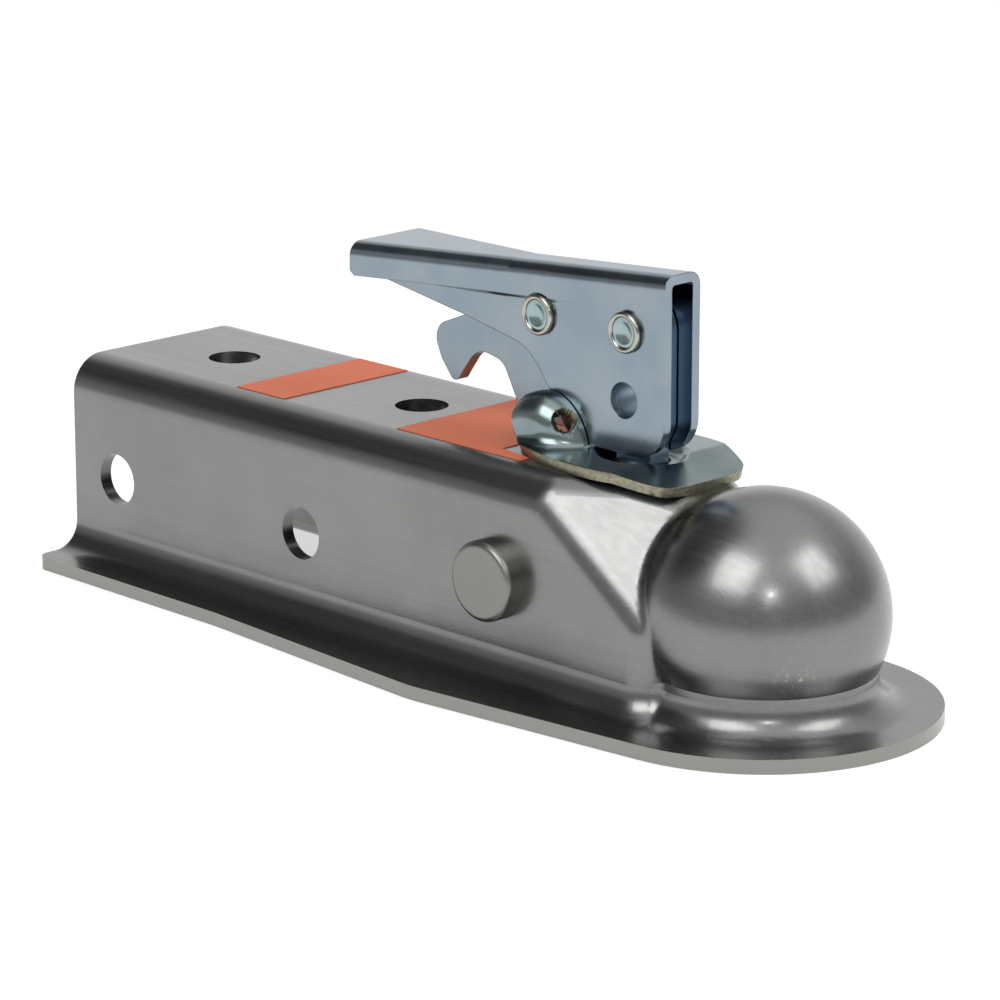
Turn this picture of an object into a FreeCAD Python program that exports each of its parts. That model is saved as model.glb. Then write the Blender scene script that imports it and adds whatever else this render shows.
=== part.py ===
"""Trailer coupling head: a pressed channel with a ball socket, and its lever latch.

The frame's origin is the centre of the tow ball.  +X points to the nose, +Z is up,
and the latch lever lies along -X, towards the tail that slides over the trailer's tongue.
"""
import FreeCAD, Part
import math
import os
import Sketcher
from FreeCAD import Rotation, Vector

doc = FreeCAD.newDocument("trailer_coupling_head")
sheet = doc.addObject("Spreadsheet::Sheet", "Sizes")

# Driving sizes in millimetres, and angles in degrees
SIZES = {
    # Tow ball, tongue and the sheet that is pressed round them
    "ball_dia": 50.8, "ball_play": 0.4, "tongue_width": 50.8, "tongue_play": 0.4, "gauge": 3.4,
    "roof_top": 28.4, "flange_under": 24.2, "tail_back": 209.5,
    "roof_bend": 9.0, "flange_bend": 7.0, "neck_bend": 4.0, "skirt_below": 12.0, "mouth_back": 2.4,
    "facet_back": 50.0, "facet_ahead": 0.454, "facet_side": 0.653, "facet_rise": 0.607,
    "roof_fall": 12.5, "roof_fall_back": 30.0, "block_front": 6.0,
    # Flange outline
    "flange_tail_half": 42.4, "flange_tail_corner": 3.0, "flange_waist_back": 140.0,
    "flange_waist_half": 43.4, "flange_waist_bend": 120.0, "flange_wide_back": 65.0,
    "flange_wide_half": 49.4, "flange_wide_bend": 40.0, "flange_nose": 43.0, "flange_nose_back": 2.0,
    # Bolt holes of the tongue
    "hole_dia": 13.1, "side_hole_front": 124.2, "side_hole_rear": 193.1, "side_hole_drop": 0.4,
    "roof_hole_front": 112.3, "roof_hole_rear": 181.0,
    # Clamp pin
    "pin_back": 57.5, "pin_rise": 2.3, "pin_dia": 12.6, "pin_head_dia": 19.2, "pin_head_tall": 5.0,
    "pin_head_round": 1.5, "pin_fit": 0.06, "pin_washer_dia": 21.0, "pin_washer_thick": 1.8,
    "pin_peen_dia": 15.6, "pin_peen_tall": 2.4,
    # Draw bolt, its nut and rocker washer
    "bolt_back": 38.3, "bolt_dia": 11.0, "bolt_neck_wide": 15.0, "bolt_neck_thick": 6.2,
    "bolt_neck_shoulder": 37.5, "bolt_neck_waist": 33.4, "bolt_round_top": 29.6, "bolt_end": 7.0,
    "nut_flats": 17.0, "nut_top": 3.9, "nut_under": 3.2, "washer_thick": 5.0, "washer_half": 9.0,
    "rocker_gap": 0.2, "bolt_hole_play": 1.1, "clamp_slot_play": 0.5,
    # Ball clamp
    "barrel_dia": 20.4, "clamp_side_gap": 0.5, "web_under": 9.0, "web_thick": 6.0,
    "nose_half": 18.0, "nose_lip_under": 15.5, "nose_lip_back": 26.0, "nose_mid_back": 26.9,
    "nose_mid_under": 7.0, "nose_top_back": 28.6, "web_front_back": 24.0,
    "slot_back": 8.6, "slot_front": 6.4,
    # Clamp spring
    "spring_wire": 2.0, "spring_mean": 16.4, "spring_turns": 3.0, "spring_seat": 0.15,
    # Saddle plate
    "saddle_gauge": 2.4, "saddle_rear_back": 68.0, "saddle_rear_half": 14.5, "saddle_waist_back": 62.0,
    "saddle_waist_half": 16.0, "saddle_mid_back": 45.0, "saddle_mid_half": 19.6,
    "saddle_wide_back": 33.0, "saddle_front_back": 18.5, "saddle_front_half": 14.6,
    "saddle_tip_back": 17.2, "saddle_corner": 3.0, "saddle_waist_bend": 14.0, "saddle_mid_bend": 22.0,
    "saddle_wide_bend": 18.0, "saddle_tip_bend": 30.0,
    "saddle_rim_round": 0.8, "saddle_lip_bend": 6.0,
    "ear_slot_half": 6.4, "hood_brow_back": 54.2, "hood_foot_back": 40.5, "hood_half": 14.2,
    "hood_foot_half": 11.2, "hood_crest": 43.0, "hood_foot_crest": 31.2, "hood_shoulder": 7.4,
    "hood_foot_round": 0.4,
    "ear_hole_back": 52.8, "ear_hole_up": 36.9, "ear_hole_dia": 6.8,
    "dish_top_dia": 21.2, "dish_floor_dia": 18.0, "dish_deep": 2.0, "dish_outer_dia": 22.0, "dish_foot_round": 1.5,
    "roof_dish_dia": 22.6,
    # Lever
    "lever_gauge": 2.3, "lever_gap": 6.9, "lever_front_back": 26.2, "lever_knee_back": 76.6,
    "lever_rear_back": 123.5, "lever_top_front": 74.8, "lever_top_knee": 71.1, "lever_top_rear": 69.0,
    "lever_rear_half": 13.0, "lever_step": 0.45, "lever_top_bend": 3.4,
    "joggle_front": 65.7, "joggle_knee": 62.1, "joggle_rear": 60.0, "joggle_tall": 0.9,
    "lever_foot": 31.2, "lever_foot_corner": 9.0, "lever_foot_rear_back": 52.0,
    "lever_throat_back": 63.1, "lever_throat": 42.5, "lever_heel_back": 57.5, "lever_heel": 33.5,
    "lever_bow_back": 70.0, "lever_bow": 51.2, "lever_grip_back": 91.0, "lever_grip": 55.3,
    "lever_grip_rear_back": 121.3, "lever_grip_rear": 60.1,
    # Rivets and holes of the lever
    "pivot_up": 60.0, "rivet_dia": 7.0, "rivet_fit": 0.05, "rivet_head_dia": 9.8, "rivet_head_tall": 1.4,
    "rivet_dish_dia": 7.8, "rivet_dish_deep": 0.7, "rivet_seat_play": 0.2, "catch_back": 66.3, "catch_up": 59.5,
    "lock_back": 39.0, "lock_up": 43.8, "lock_hole_dia": 8.4, "bolt_lock_dia": 8.8,
    # Trigger
    "trigger_thick": 3.2, "trigger_bush_dia": 10.6, "bush_gap": 0.05,
    "return_wire": 0.8, "return_mean": 12.2, "return_leg": 11.0, "return_gap": 0.12,
    # Labels
    "label_thick": 0.2, "label_half": 20.6, "label_shift": 0.7,
    "rear_label_front": 140.0, "rear_label_rear": 157.4, "front_label_front": 69.0,
    "front_label_rear": 100.0, "front_label_horn": 58.5, "front_label_half": 16.8,
}

# Corners of the trigger's outline: how far behind the ball, how high above it, and the rounding
TRIGGER_CORNERS = {
    "crown_front": (60.5, 66.5, 5.0), "crown_rear": (72.5, 66.5, 5.0), "spine_front": (77.0, 59.0, 8.0),
    "spine_rear": (94.0, 54.6, 8.0), "hook_back": (106.8, 49.4, 4.5), "hook_low": (103.6, 42.0, 6.0),
    "hook_tip": (98.8, 36.2, 1.8), "hook_inside": (96.4, 39.8, 2.0), "finger_rear": (91.4, 46.6, 6.5),
    "finger_front": (82.6, 44.8, 5.0), "throat": (77.4, 35.2, 2.5), "nose_rear": (66.0, 32.6, 3.0),
    "nose_low": (56.0, 32.6, 3.5), "nose_high": (55.0, 40.5, 3.5), "neck": (60.5, 45.0, 6.0),
}
for corner_name, (corner_back, corner_up, corner_round) in TRIGGER_CORNERS.items():
    SIZES["trigger_%s_back" % corner_name] = corner_back
    SIZES["trigger_%s_up" % corner_name] = corner_up
    SIZES["trigger_%s_round" % corner_name] = corner_round


def fill_sheet():
    """Write every size into the sheet under its own alias."""
    for row, (alias, value) in enumerate(SIZES.items(), start=1):
        sheet.set("A%d" % row, alias)
        sheet.set("B%d" % row, "%g" % value)
        sheet.setAlias("B%d" % row, alias)
    doc.recompute()


class Size:
    """A length as the sheet writes it and as a number, so that a sum of lengths stays bound."""

    def __init__(self, text, value):
        self.text = text
        self.value = float(value)

    def __add__(self, other):
        other = size(other)
        return Size("(%s + %s)" % (self.text, other.text), self.value + other.value)

    def __radd__(self, other):
        return size(other) + self

    def __sub__(self, other):
        other = size(other)
        return Size("(%s - %s)" % (self.text, other.text), self.value - other.value)

    def __rsub__(self, other):
        return size(other) - self

    def __mul__(self, other):
        other = size(other)
        return Size("(%s * %s)" % (self.text, other.text), self.value * other.value)

    def __rmul__(self, other):
        return size(other) * self

    def __truediv__(self, other):
        other = size(other)
        return Size("(%s / %s)" % (self.text, other.text), self.value / other.value)

    def __neg__(self):
        return size(0) - self


def size(value):
    """Turn an alias or a plain number into a Size."""
    if isinstance(value, Size):
        return value
    if isinstance(value, str):
        return Size("Sizes.%s" % value, float(sheet.get(value)))
    return Size("%g" % value, value)


def bind(thing, **lengths):
    """Bind properties to sizes. A name such as Placement_Base_x stands for Placement.Base.x."""
    for name, length in lengths.items():
        thing.setExpression(name.replace("_", "."), size(length).text)


# Helpers for sketches and features

def new_body(label, x=0, y=0, z=0):
    body = doc.addObject("PartDesign::Body", label)
    body.Label = label
    bind(body, Placement_Base_x=x, Placement_Base_y=y, Placement_Base_z=z)
    return body


def new_sketch(body, name, plane, offset=0):
    """A sketch on one of the body's own origin planes, moved along the plane's normal."""
    sketch = body.newObject("Sketcher::SketchObject", name)
    support = [item for item in body.Origin.OriginFeatures if item.Role == plane][0]
    sketch.AttachmentSupport = [(support, "")]
    sketch.MapMode = "FlatFace"
    bind(sketch, AttachmentOffset_Base_z=offset)
    return sketch


def pin_point(sketch, index, end, u, v):
    """Hold a point of the sketch at two distances from the sketch's origin."""
    for kind, length in (("DistanceX", u), ("DistanceY", v)):
        length = size(length)
        number = sketch.addConstraint(Sketcher.Constraint(kind, -1, 1, index, end, length.value))
        sketch.setExpression("Constraints[%d]" % number, length.text)


def add_circle(sketch, u, v, radius):
    u, v, radius = size(u), size(v), size(radius)
    circle = Part.Circle(Vector(u.value, v.value, 0), Vector(0, 0, 1), radius.value)
    index = sketch.addGeometry(circle)
    pin_point(sketch, index, 3, u, v)
    number = sketch.addConstraint(Sketcher.Constraint("Radius", index, radius.value))
    sketch.setExpression("Constraints[%d]" % number, radius.text)


def rounding(before, corner, after, radius):
    """The two ends, the centre and the turn of an arc that rounds a corner."""
    towards = (before - corner).normalize()
    away = (after - corner).normalize()
    half = towards.getAngle(away) / 2
    run = radius / math.tan(half)
    centre = corner + (towards + away).normalize() * (radius / math.sin(half))
    turn = (corner - before).cross(after - corner).z
    return corner + towards * run, corner + away * run, centre, turn


def add_outline(sketch, corners):
    """A closed outline: each corner is (u, v) when sharp, or (u, v, radius) when rounded."""
    points = [Vector(size(c[0]).value, size(c[1]).value, 0) for c in corners]
    count = len(corners)
    starts, ends = list(points), list(points)
    arcs = {}
    for i, corner in enumerate(corners):
        if len(corner) == 3:
            radius = size(corner[2]).value
            near, far, centre, turn = rounding(points[i - 1], points[i], points[(i + 1) % count], radius)
            ends[i], starts[i] = near, far
            arcs[i] = (near, far, centre, turn, radius)
    lines = []
    for i in range(count):
        line = Part.LineSegment(starts[i], ends[(i + 1) % count])
        lines.append(sketch.addGeometry(line))
    for i, corner in enumerate(corners):
        before, after = lines[i - 1], lines[i]
        if i not in arcs:
            sketch.addConstraint(Sketcher.Constraint("Coincident", before, 2, after, 1))
            pin_point(sketch, after, 1, corner[0], corner[1])
            continue
        near, far, centre, turn, radius = arcs[i]
        middle = centre + (points[i] - centre).normalize() * radius
        arc = sketch.addGeometry(Part.Arc(near, middle, far))
        first, last = (1, 2) if turn > 0 else (2, 1)
        point = sketch.addGeometry(Part.Point(points[i]))
        pin_point(sketch, point, 1, corner[0], corner[1])
        sketch.addConstraint(Sketcher.Constraint("PointOnObject", point, 1, before))
        sketch.addConstraint(Sketcher.Constraint("PointOnObject", point, 1, after))
        sketch.addConstraint(Sketcher.Constraint("Tangent", before, 2, arc, first))
        sketch.addConstraint(Sketcher.Constraint("Tangent", after, 1, arc, last))
        number = sketch.addConstraint(Sketcher.Constraint("Radius", arc, radius))
        sketch.setExpression("Constraints[%d]" % number, size(corner[2]).text)
        sketch.toggleConstruction(point)


def pad(body, name, sketch, length, symmetric=False):
    feature = body.newObject("PartDesign::Pad", name)
    feature.Profile = sketch
    if symmetric:
        feature.SideType = "Symmetric"
    bind(feature, Length=length)
    return feature


def pocket(body, name, sketch, length, symmetric=False, upwards=False):
    """Cut a sketch out of the body: to both sides, along the sketch's normal, or against it."""
    feature = body.newObject("PartDesign::Pocket", name)
    feature.Profile = sketch
    if symmetric:
        feature.SideType = "Symmetric"
    feature.Reversed = upwards
    bind(feature, Length=length)
    return feature


def turned(body, name, sketch, cut=False):
    """Turn a sketch once round its own vertical axis."""
    feature = body.newObject("PartDesign::Groove" if cut else "PartDesign::Revolution", name)
    feature.Profile = sketch
    feature.ReferenceAxis = (sketch, ["V_Axis"])
    feature.Angle = 360
    return feature


def lies(edge, x=None, y=None, z=None, along=None, reach=0.01):
    """Tell whether every vertex of an edge has the given places, and its direction the axis along."""
    for vertex in edge.Vertexes:
        point = vertex.Point
        for place, value in ((x, point.x), (y, abs(point.y)), (z, point.z)):
            if place is not None and abs(size(place).value - value) > reach:
                return False
    if along is None:
        return True
    ends = [vertex.Point for vertex in edge.Vertexes]
    if len(ends) < 2:
        return False
    run = (ends[1] - ends[0]).normalize()
    return abs(run.dot(along)) > 0.999


fill_sheet()
ACROSS = Vector(0, 1, 0)
SOCKET = size("ball_dia") / 2 + "ball_play"
WALL_IN = size("tongue_width") / 2 + "tongue_play"
WALL_OUT = WALL_IN + "gauge"
SHELL_OUT = SOCKET + "gauge"
ROOF = size("roof_top")
ROOF_IN = ROOF - "gauge"
UNDER = -size("flange_under")
BOLT_X = -size("bolt_back")
PIN_X = -size("pin_back")
PIN_Z = size("pin_rise")
PIVOT_Z = size("pivot_up")
PLATE_TOP = ROOF + "saddle_gauge"


def from_bolt(alias):
    """Place a distance behind the ball in a frame that stands on the draw bolt's axis."""
    return size("bolt_back") - alias


# Coupler body: one pressing of sheet with a channel, shoulders, a ball dome and a flange.
# The outside and the inside are the same form, a sheet's thickness apart.

def rounded_block(inset, low, tail):
    """The channel's prism with shoulder facets and a falling roof, its edges rounded."""
    half = WALL_OUT.value - inset
    front = -size("block_front").value - inset
    roof = ROOF.value - inset
    block = Part.makeBox(front - tail, 2 * half, roof - low, Vector(tail, -half, low))
    ahead, side, rise = (size(name).value for name in ("facet_ahead", "facet_side", "facet_rise"))
    for hand in (1, -1):
        normal = Vector(ahead, hand * side, rise).normalize()
        corner = Vector(-size("facet_back").value, hand * WALL_OUT.value, ROOF.value)
        reach = block.BoundBox.DiagonalLength
        block = block.cut(Part.makeCylinder(reach, reach, corner - normal * inset, normal))
    fall = math.radians(size("roof_fall").value)
    normal = Vector(math.sin(fall), 0, math.cos(fall))
    start = Vector(-size("roof_fall_back").value, 0, ROOF.value) - normal * inset
    block = block.cut(Part.makeCylinder(block.BoundBox.DiagonalLength, reach, start, normal))
    edges = [edge for edge in block.Edges if not (lies(edge, z=low) or lies(edge, x=tail))]
    return block.makeFillet(size("roof_bend").value - inset, edges)


def ball_dome(radius, low, drop):
    """A ball down to a depth below its middle, and a straight skirt from there."""
    skirt = math.sqrt(radius ** 2 - drop ** 2)
    angle = (math.pi / 2 - math.atan2(drop, skirt)) / 2
    top = Vector(0, 0, radius)
    side = Vector(skirt, 0, -drop)
    middle = Vector(radius * math.cos(angle), 0, radius * math.sin(angle))
    foot = Vector(skirt, 0, low)
    centre = Vector(0, 0, low)
    edges = [Part.Arc(top, middle, side).toShape(), Part.makeLine(side, foot)]
    edges += [Part.makeLine(foot, centre), Part.makeLine(centre, top)]
    return Part.Face(Part.Wire(edges)).revolve(Vector(0, 0, 0), Vector(0, 0, 1), 360)


def ball_room(radius, low, drop):
    """The hollow that holds the ball: its mouth leans back, so that the ball can pass the clamp."""
    lean = Vector(-size("mouth_back").value, 0, -drop)
    disc = Part.Face(Part.Wire(Part.makeCircle(radius)))
    leaning = disc.extrude(lean)
    mouth = Part.Face(Part.Wire(Part.makeCircle(radius, lean))).extrude(Vector(0, 0, low + drop))
    return Part.makeSphere(radius).fuse([leaning, mouth]).removeSplitter().Solids[0]


def on_skin(shape, point):
    """Tell whether a point lies on the skin of a solid."""
    return Part.Shell(shape.Faces).distToShape(Part.Vertex(point))[0] < 0.01


def edge_middle(edge):
    return edge.valueAt((edge.FirstParameter + edge.LastParameter) / 2)


def seam_edges(whole, first, second, low):
    """The edges of a union along which the skins of its two solids meet, above a level."""
    seams = []
    for edge in whole.Edges:
        if edge.Length < 0.01 or len(edge.Vertexes) == 0:
            continue
        middle = edge_middle(edge)
        if middle.z > low + 0.1 and on_skin(first, middle) and on_skin(second, middle):
            seams.append(edge)
    return seams


def largest_fillet(form, edges, bend):
    """Round edges with a bend, or with the largest smaller one that the form has room for."""
    for share in (1.0, 0.95, 0.9, 0.8, 0.7, 0.6, 0.5):
        try:
            rounded = form.makeFillet(bend * share, edges)
        except Part.OCCError:
            continue
        if rounded.isValid():
            return rounded
    raise RuntimeError("no bend up to %g mm fits" % bend)


def flange_plate(low):
    """The flange: a long waisted plate with a round nose."""
    tail = -size("tail_back").value
    wide = Vector(-size("flange_wide_back").value, size("flange_wide_half").value, low)
    nose = Vector(-size("flange_nose_back").value, 0, low)
    radius = size("flange_nose").value
    out = wide - nose
    turn = math.acos(radius / out.Length)
    touch = nose + Rotation(Vector(0, 0, 1), -math.degrees(turn)).multVec(out).normalize() * radius
    corners = [
        (Vector(tail, size("flange_tail_half").value, low), size("flange_tail_corner").value),
        (Vector(-size("flange_waist_back").value, size("flange_waist_half").value, low),
         size("flange_waist_bend").value),
        (wide, size("flange_wide_bend").value),
    ]
    start = Vector(tail, 0, low)
    edges = []
    for i, (corner, bend) in enumerate(corners):
        before = corners[i - 1][0] if i else start
        after = corners[i + 1][0] if i + 1 < len(corners) else touch
        near, far, centre, _ = rounding(before, corner, after, bend)
        middle = centre + (corner - centre).normalize() * bend
        edges.append(Part.makeLine(start if i == 0 else edges[-1].Vertexes[-1].Point, near))
        edges.append(Part.Arc(near, middle, far).toShape())
    edges.append(Part.makeLine(edges[-1].Vertexes[-1].Point, touch))
    edges.append(Part.Arc(touch, nose + Vector(radius, 0, 0), Vector(touch.x, -touch.y, low)).toShape())
    mirrored = [edge.mirror(Vector(0, 0, 0), ACROSS) for edge in edges[:-1]]
    outline = Part.Wire(Part.__sortEdges__(edges + mirrored))
    return Part.Face(outline).extrude(Vector(0, 0, size("gauge").value))


def pressed_form():
    """The whole pressing before any hole is pierced."""
    gauge = size("gauge").value
    low = UNDER.value
    tail = -size("tail_back").value
    drop = size("skirt_below").value
    block = rounded_block(0, low, tail)
    dome = ball_dome(SHELL_OUT.value, low, drop)
    outside = block.fuse(dome).removeSplitter().Solids[0]
    seams = seam_edges(outside, block, dome, low)
    outside = largest_fillet(outside, seams, size("neck_bend").value)
    plate = flange_plate(low)
    whole = outside.fuse(plate).removeSplitter().Solids[0]
    foot = [edge for edge in whole.Edges if lies(edge, z=low + gauge) and on_skin(outside, edge_middle(edge))]
    whole = whole.makeFillet(size("flange_bend").value, foot)
    deep = low - 2 * gauge
    room = ball_room(SOCKET.value, deep, drop)
    inside = rounded_block(gauge, deep, tail - 2 * gauge).fuse(room).removeSplitter().Solids[0]
    whole = whole.cut(inside).Solids[0]
    mouth = [edge for edge in whole.Edges if lies(edge, z=low) and on_skin(inside, edge_middle(edge))]
    return whole.makeFillet(gauge, mouth)



def cutter(name, radius, length, axis, **place):
    """A cylinder that pierces other pieces, bound to the sheet: along Y, or along Z."""
    tool = doc.addObject("Part::Cylinder", name)
    if axis == "Y":
        tool.Placement = FreeCAD.Placement(Vector(0, 0, 0), Rotation(Vector(1, 0, 0), 90))
    bind(tool, Radius=radius, Height=length)
    bind(tool, **{"Placement_Base_" + key: value for key, value in place.items()})
    return tool


pressing = doc.addObject("Part::Feature", "pressing")
pressing.Shape = pressed_form()
ACROSS_OUT = WALL_OUT * 2 + 4
HOLE = size("hole_dia") / 2
holes = [
    cutter("side_hole_a", HOLE, ACROSS_OUT, "Y", x=-size("side_hole_front"), y=ACROSS_OUT / 2,
           z=-size("side_hole_drop")),
    cutter("side_hole_b", HOLE, ACROSS_OUT, "Y", x=-size("side_hole_rear"), y=ACROSS_OUT / 2,
           z=-size("side_hole_drop")),
    cutter("roof_hole_a", HOLE, size("gauge") * 2, "Z", x=-size("roof_hole_front"), z=ROOF - size("gauge") * 1.5),
    cutter("roof_hole_b", HOLE, size("gauge") * 2, "Z", x=-size("roof_hole_rear"), z=ROOF - size("gauge") * 1.5),
    cutter("pin_hole", size("pin_dia") / 2, ACROSS_OUT, "Y", x=PIN_X, y=ACROSS_OUT / 2, z=PIN_Z),
    cutter("dish_hole", size("roof_dish_dia") / 2, size("gauge") * 4, "Z", x=BOLT_X, z=ROOF - size("gauge") * 3),
]
pierced = doc.addObject("Part::MultiFuse", "piercings")
pierced.Shapes = holes
coupler = doc.addObject("Part::Cut", "coupler_body")
coupler.Label = "coupler_body"
coupler.Base = pressing
coupler.Tool = pierced

# Clamp pin: headed on the near side, and peened over a washer on the far side
pin = new_body("clamp_pin", x=PIN_X, z=PIN_Z)
profile = new_sketch(pin, "pin_profile", "XY_Plane")
HEAD_FACE = -WALL_OUT - "pin_head_tall"
PIN_R = size("pin_dia") / 2
PIN_WASHER_OUT = WALL_OUT + "pin_washer_thick"
add_outline(profile, [
    (0, HEAD_FACE),
    (size("pin_head_dia") / 2, HEAD_FACE, "pin_head_round"),
    (size("pin_head_dia") / 2, -WALL_OUT),
    (PIN_R, -WALL_OUT),
    (PIN_R, PIN_WASHER_OUT),
    (size("pin_peen_dia") / 2, PIN_WASHER_OUT),
    (PIN_R, PIN_WASHER_OUT + "pin_peen_tall"),
    (0, PIN_WASHER_OUT + "pin_peen_tall"),
])
turned(pin, "pin_turning", profile)

pin_washer = new_body("pin_washer", x=PIN_X, z=PIN_Z)
profile = new_sketch(pin_washer, "pin_washer_profile", "XY_Plane")
add_outline(profile, [
    (PIN_R, WALL_OUT),
    (size("pin_washer_dia") / 2, WALL_OUT),
    (size("pin_washer_dia") / 2, PIN_WASHER_OUT),
    (PIN_R, PIN_WASHER_OUT),
])
turned(pin_washer, "pin_washer_turning", profile)

# Ball clamp: a barrel round the pin, a web forward over the draw bolt, and a nose under the ball
CLAMP_PLACE = dict(x=PIN_X, z=PIN_Z)
clamp = new_body("ball_clamp", **CLAMP_PLACE)


def from_pin(alias):
    """Place a distance behind the ball in the frame of the clamp pin."""
    return size("pin_back") - alias


WEB_LOW = size("web_under") - PIN_Z
WEB_TOP = WEB_LOW + "web_thick"
BARREL_HALF = WALL_IN - "clamp_side_gap"
BARREL_R = size("barrel_dia") / 2
sketch = new_sketch(clamp, "barrel_round", "XZ_Plane")
add_circle(sketch, 0, 0, BARREL_R)
pad(clamp, "barrel", sketch, BARREL_HALF * 2, symmetric=True)
sketch = new_sketch(clamp, "web_side", "XZ_Plane")
add_outline(sketch, [
    (0, WEB_LOW - 6),
    (BARREL_R, WEB_LOW - 6),
    (BARREL_R, WEB_LOW, 3),
    (from_pin("nose_top_back"), WEB_LOW, 2),
    (from_pin("nose_mid_back"), -size("nose_mid_under") - PIN_Z, 20),
    (from_pin("nose_lip_back"), -size("nose_lip_under") - PIN_Z, 2.5),
    (from_pin("nose_lip_back") + 8, -size("nose_lip_under") - PIN_Z),
    (from_pin("web_front_back") + 2, 0),
    (from_pin("web_front_back"), WEB_TOP, 5),
    (0, WEB_TOP, 8),
])
pad(clamp, "web", sketch, size("nose_half") * 2, symmetric=True)
ball = clamp.newObject("PartDesign::SubtractiveSphere", "ball_seat")
bind(ball, Radius=SOCKET, Placement_Base_x=-PIN_X, Placement_Base_z=-PIN_Z)
sketch = new_sketch(clamp, "bolt_slot", "XY_Plane", WEB_TOP + 2)
SLOT_HALF = size("bolt_dia") / 2 + "clamp_slot_play"
add_outline(sketch, [
    (from_pin("bolt_back") - "slot_back", -SLOT_HALF, SLOT_HALF * 0.98),
    (from_pin("bolt_back") + "slot_front", -SLOT_HALF, SLOT_HALF * 0.98),
    (from_pin("bolt_back") + "slot_front", SLOT_HALF, SLOT_HALF * 0.98),
    (from_pin("bolt_back") - "slot_back", SLOT_HALF, SLOT_HALF * 0.98),
])
pocket(clamp, "slot", sketch, size("web_thick") + 4)
sketch = new_sketch(clamp, "pin_bore_round", "XZ_Plane")
add_circle(sketch, 0, 0, PIN_R + "pin_fit")
pocket(clamp, "pin_bore", sketch, BARREL_HALF * 2 + 2, symmetric=True)

# Draw bolt: a round shank that is forged flat above the saddle, with an eye for the lever
bolt = new_body("draw_bolt", x=BOLT_X)
BOLT_R = size("bolt_dia") / 2
NECK_HALF = size("bolt_neck_wide") / 2
profile = new_sketch(bolt, "shank_profile", "XZ_Plane")
add_outline(profile, [
    (0, -size("bolt_end")),
    (BOLT_R - 1, -size("bolt_end")),
    (BOLT_R, -size("bolt_end") + 1),
    (BOLT_R, size("bolt_round_top") - 1.2),
    (BOLT_R - 1.2, "bolt_round_top"),
    (0, "bolt_round_top"),
])
turned(bolt, "shank", profile)
sketch = new_sketch(bolt, "neck_side", "XZ_Plane")
add_outline(sketch, [
    (-BOLT_R + 0.2, size("bolt_round_top") - 6),
    (BOLT_R - 0.2, size("bolt_round_top") - 6),
    (BOLT_R - 0.2, "bolt_neck_waist", 5),
    (NECK_HALF, "bolt_neck_shoulder", 5),
    (NECK_HALF, PIVOT_Z + NECK_HALF, NECK_HALF * 0.99),
    (-NECK_HALF, PIVOT_Z + NECK_HALF, NECK_HALF * 0.99),
    (-NECK_HALF, "bolt_neck_shoulder", 5),
    (-BOLT_R + 0.2, "bolt_neck_waist", 5),
])
pad(bolt, "neck", sketch, "bolt_neck_thick", symmetric=True)
sketch = new_sketch(bolt, "eyes", "XZ_Plane")
add_circle(sketch, 0, PIVOT_Z, size("rivet_dia") / 2 + "rivet_fit")
add_circle(sketch, from_bolt("lock_back"), "lock_up", size("bolt_lock_dia") / 2)
pocket(bolt, "eye_holes", sketch, size("bolt_neck_thick") + 4, symmetric=True)

# Adjusting nut on the bolt's lower end, below a rocker washer with a round crown
nut = new_body("adjusting_nut", x=BOLT_X)
NUT_CORNER = size("nut_flats") / math.sqrt(3)
sketch = new_sketch(nut, "nut_hexagon", "XY_Plane", -size("nut_under"))
NUT_HALF = size("nut_flats") / 2
add_outline(sketch, [
    (NUT_HALF, -NUT_CORNER / 2),
    (NUT_HALF, NUT_CORNER / 2),
    (0, NUT_CORNER),
    (-NUT_HALF, NUT_CORNER / 2),
    (-NUT_HALF, -NUT_CORNER / 2),
    (0, -NUT_CORNER),
])
pad(nut, "hexagon", sketch, size("nut_top") + "nut_under")
profile = new_sketch(nut, "corner_profile", "XZ_Plane")
for level, out in ((size("nut_top"), 1), (-size("nut_under"), -1)):
    add_outline(profile, [
        (NUT_HALF - 0.3, level),
        (NUT_CORNER + 1, level - out * 1.3),
        (NUT_CORNER + 1, level + out),
        (NUT_HALF - 0.3, level + out),
    ])
turned(nut, "corner_chamfer", profile, cut=True)
sketch = new_sketch(nut, "nut_bore_round", "XY_Plane", "nut_top")
add_circle(sketch, 0, 0, BOLT_R)
pocket(nut, "nut_bore", sketch, size("nut_top") + "nut_under")

rocker = new_body("rocker_washer", x=BOLT_X)
CROWN_R = size("web_under") - "rocker_gap"
ROCKER_LOW = size("nut_top")
sketch = new_sketch(rocker, "crown_side", "XZ_Plane")
add_circle(sketch, 0, 0, CROWN_R)
pad(rocker, "crown", sketch, size("washer_half") * 2, symmetric=True)
sketch = new_sketch(rocker, "seat_cut", "XZ_Plane")
add_outline(sketch, [
    (-CROWN_R - 2, -CROWN_R - 2),
    (CROWN_R + 2, -CROWN_R - 2),
    (CROWN_R + 2, ROCKER_LOW),
    (-CROWN_R - 2, ROCKER_LOW),
])
pocket(rocker, "seat", sketch, size("washer_half") * 2 + 2, symmetric=True)
sketch = new_sketch(rocker, "rocker_bore_round", "XY_Plane", CROWN_R + 1)
add_circle(sketch, 0, 0, BOLT_R + 0.2)
pocket(rocker, "rocker_bore", sketch, CROWN_R * 2)

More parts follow.
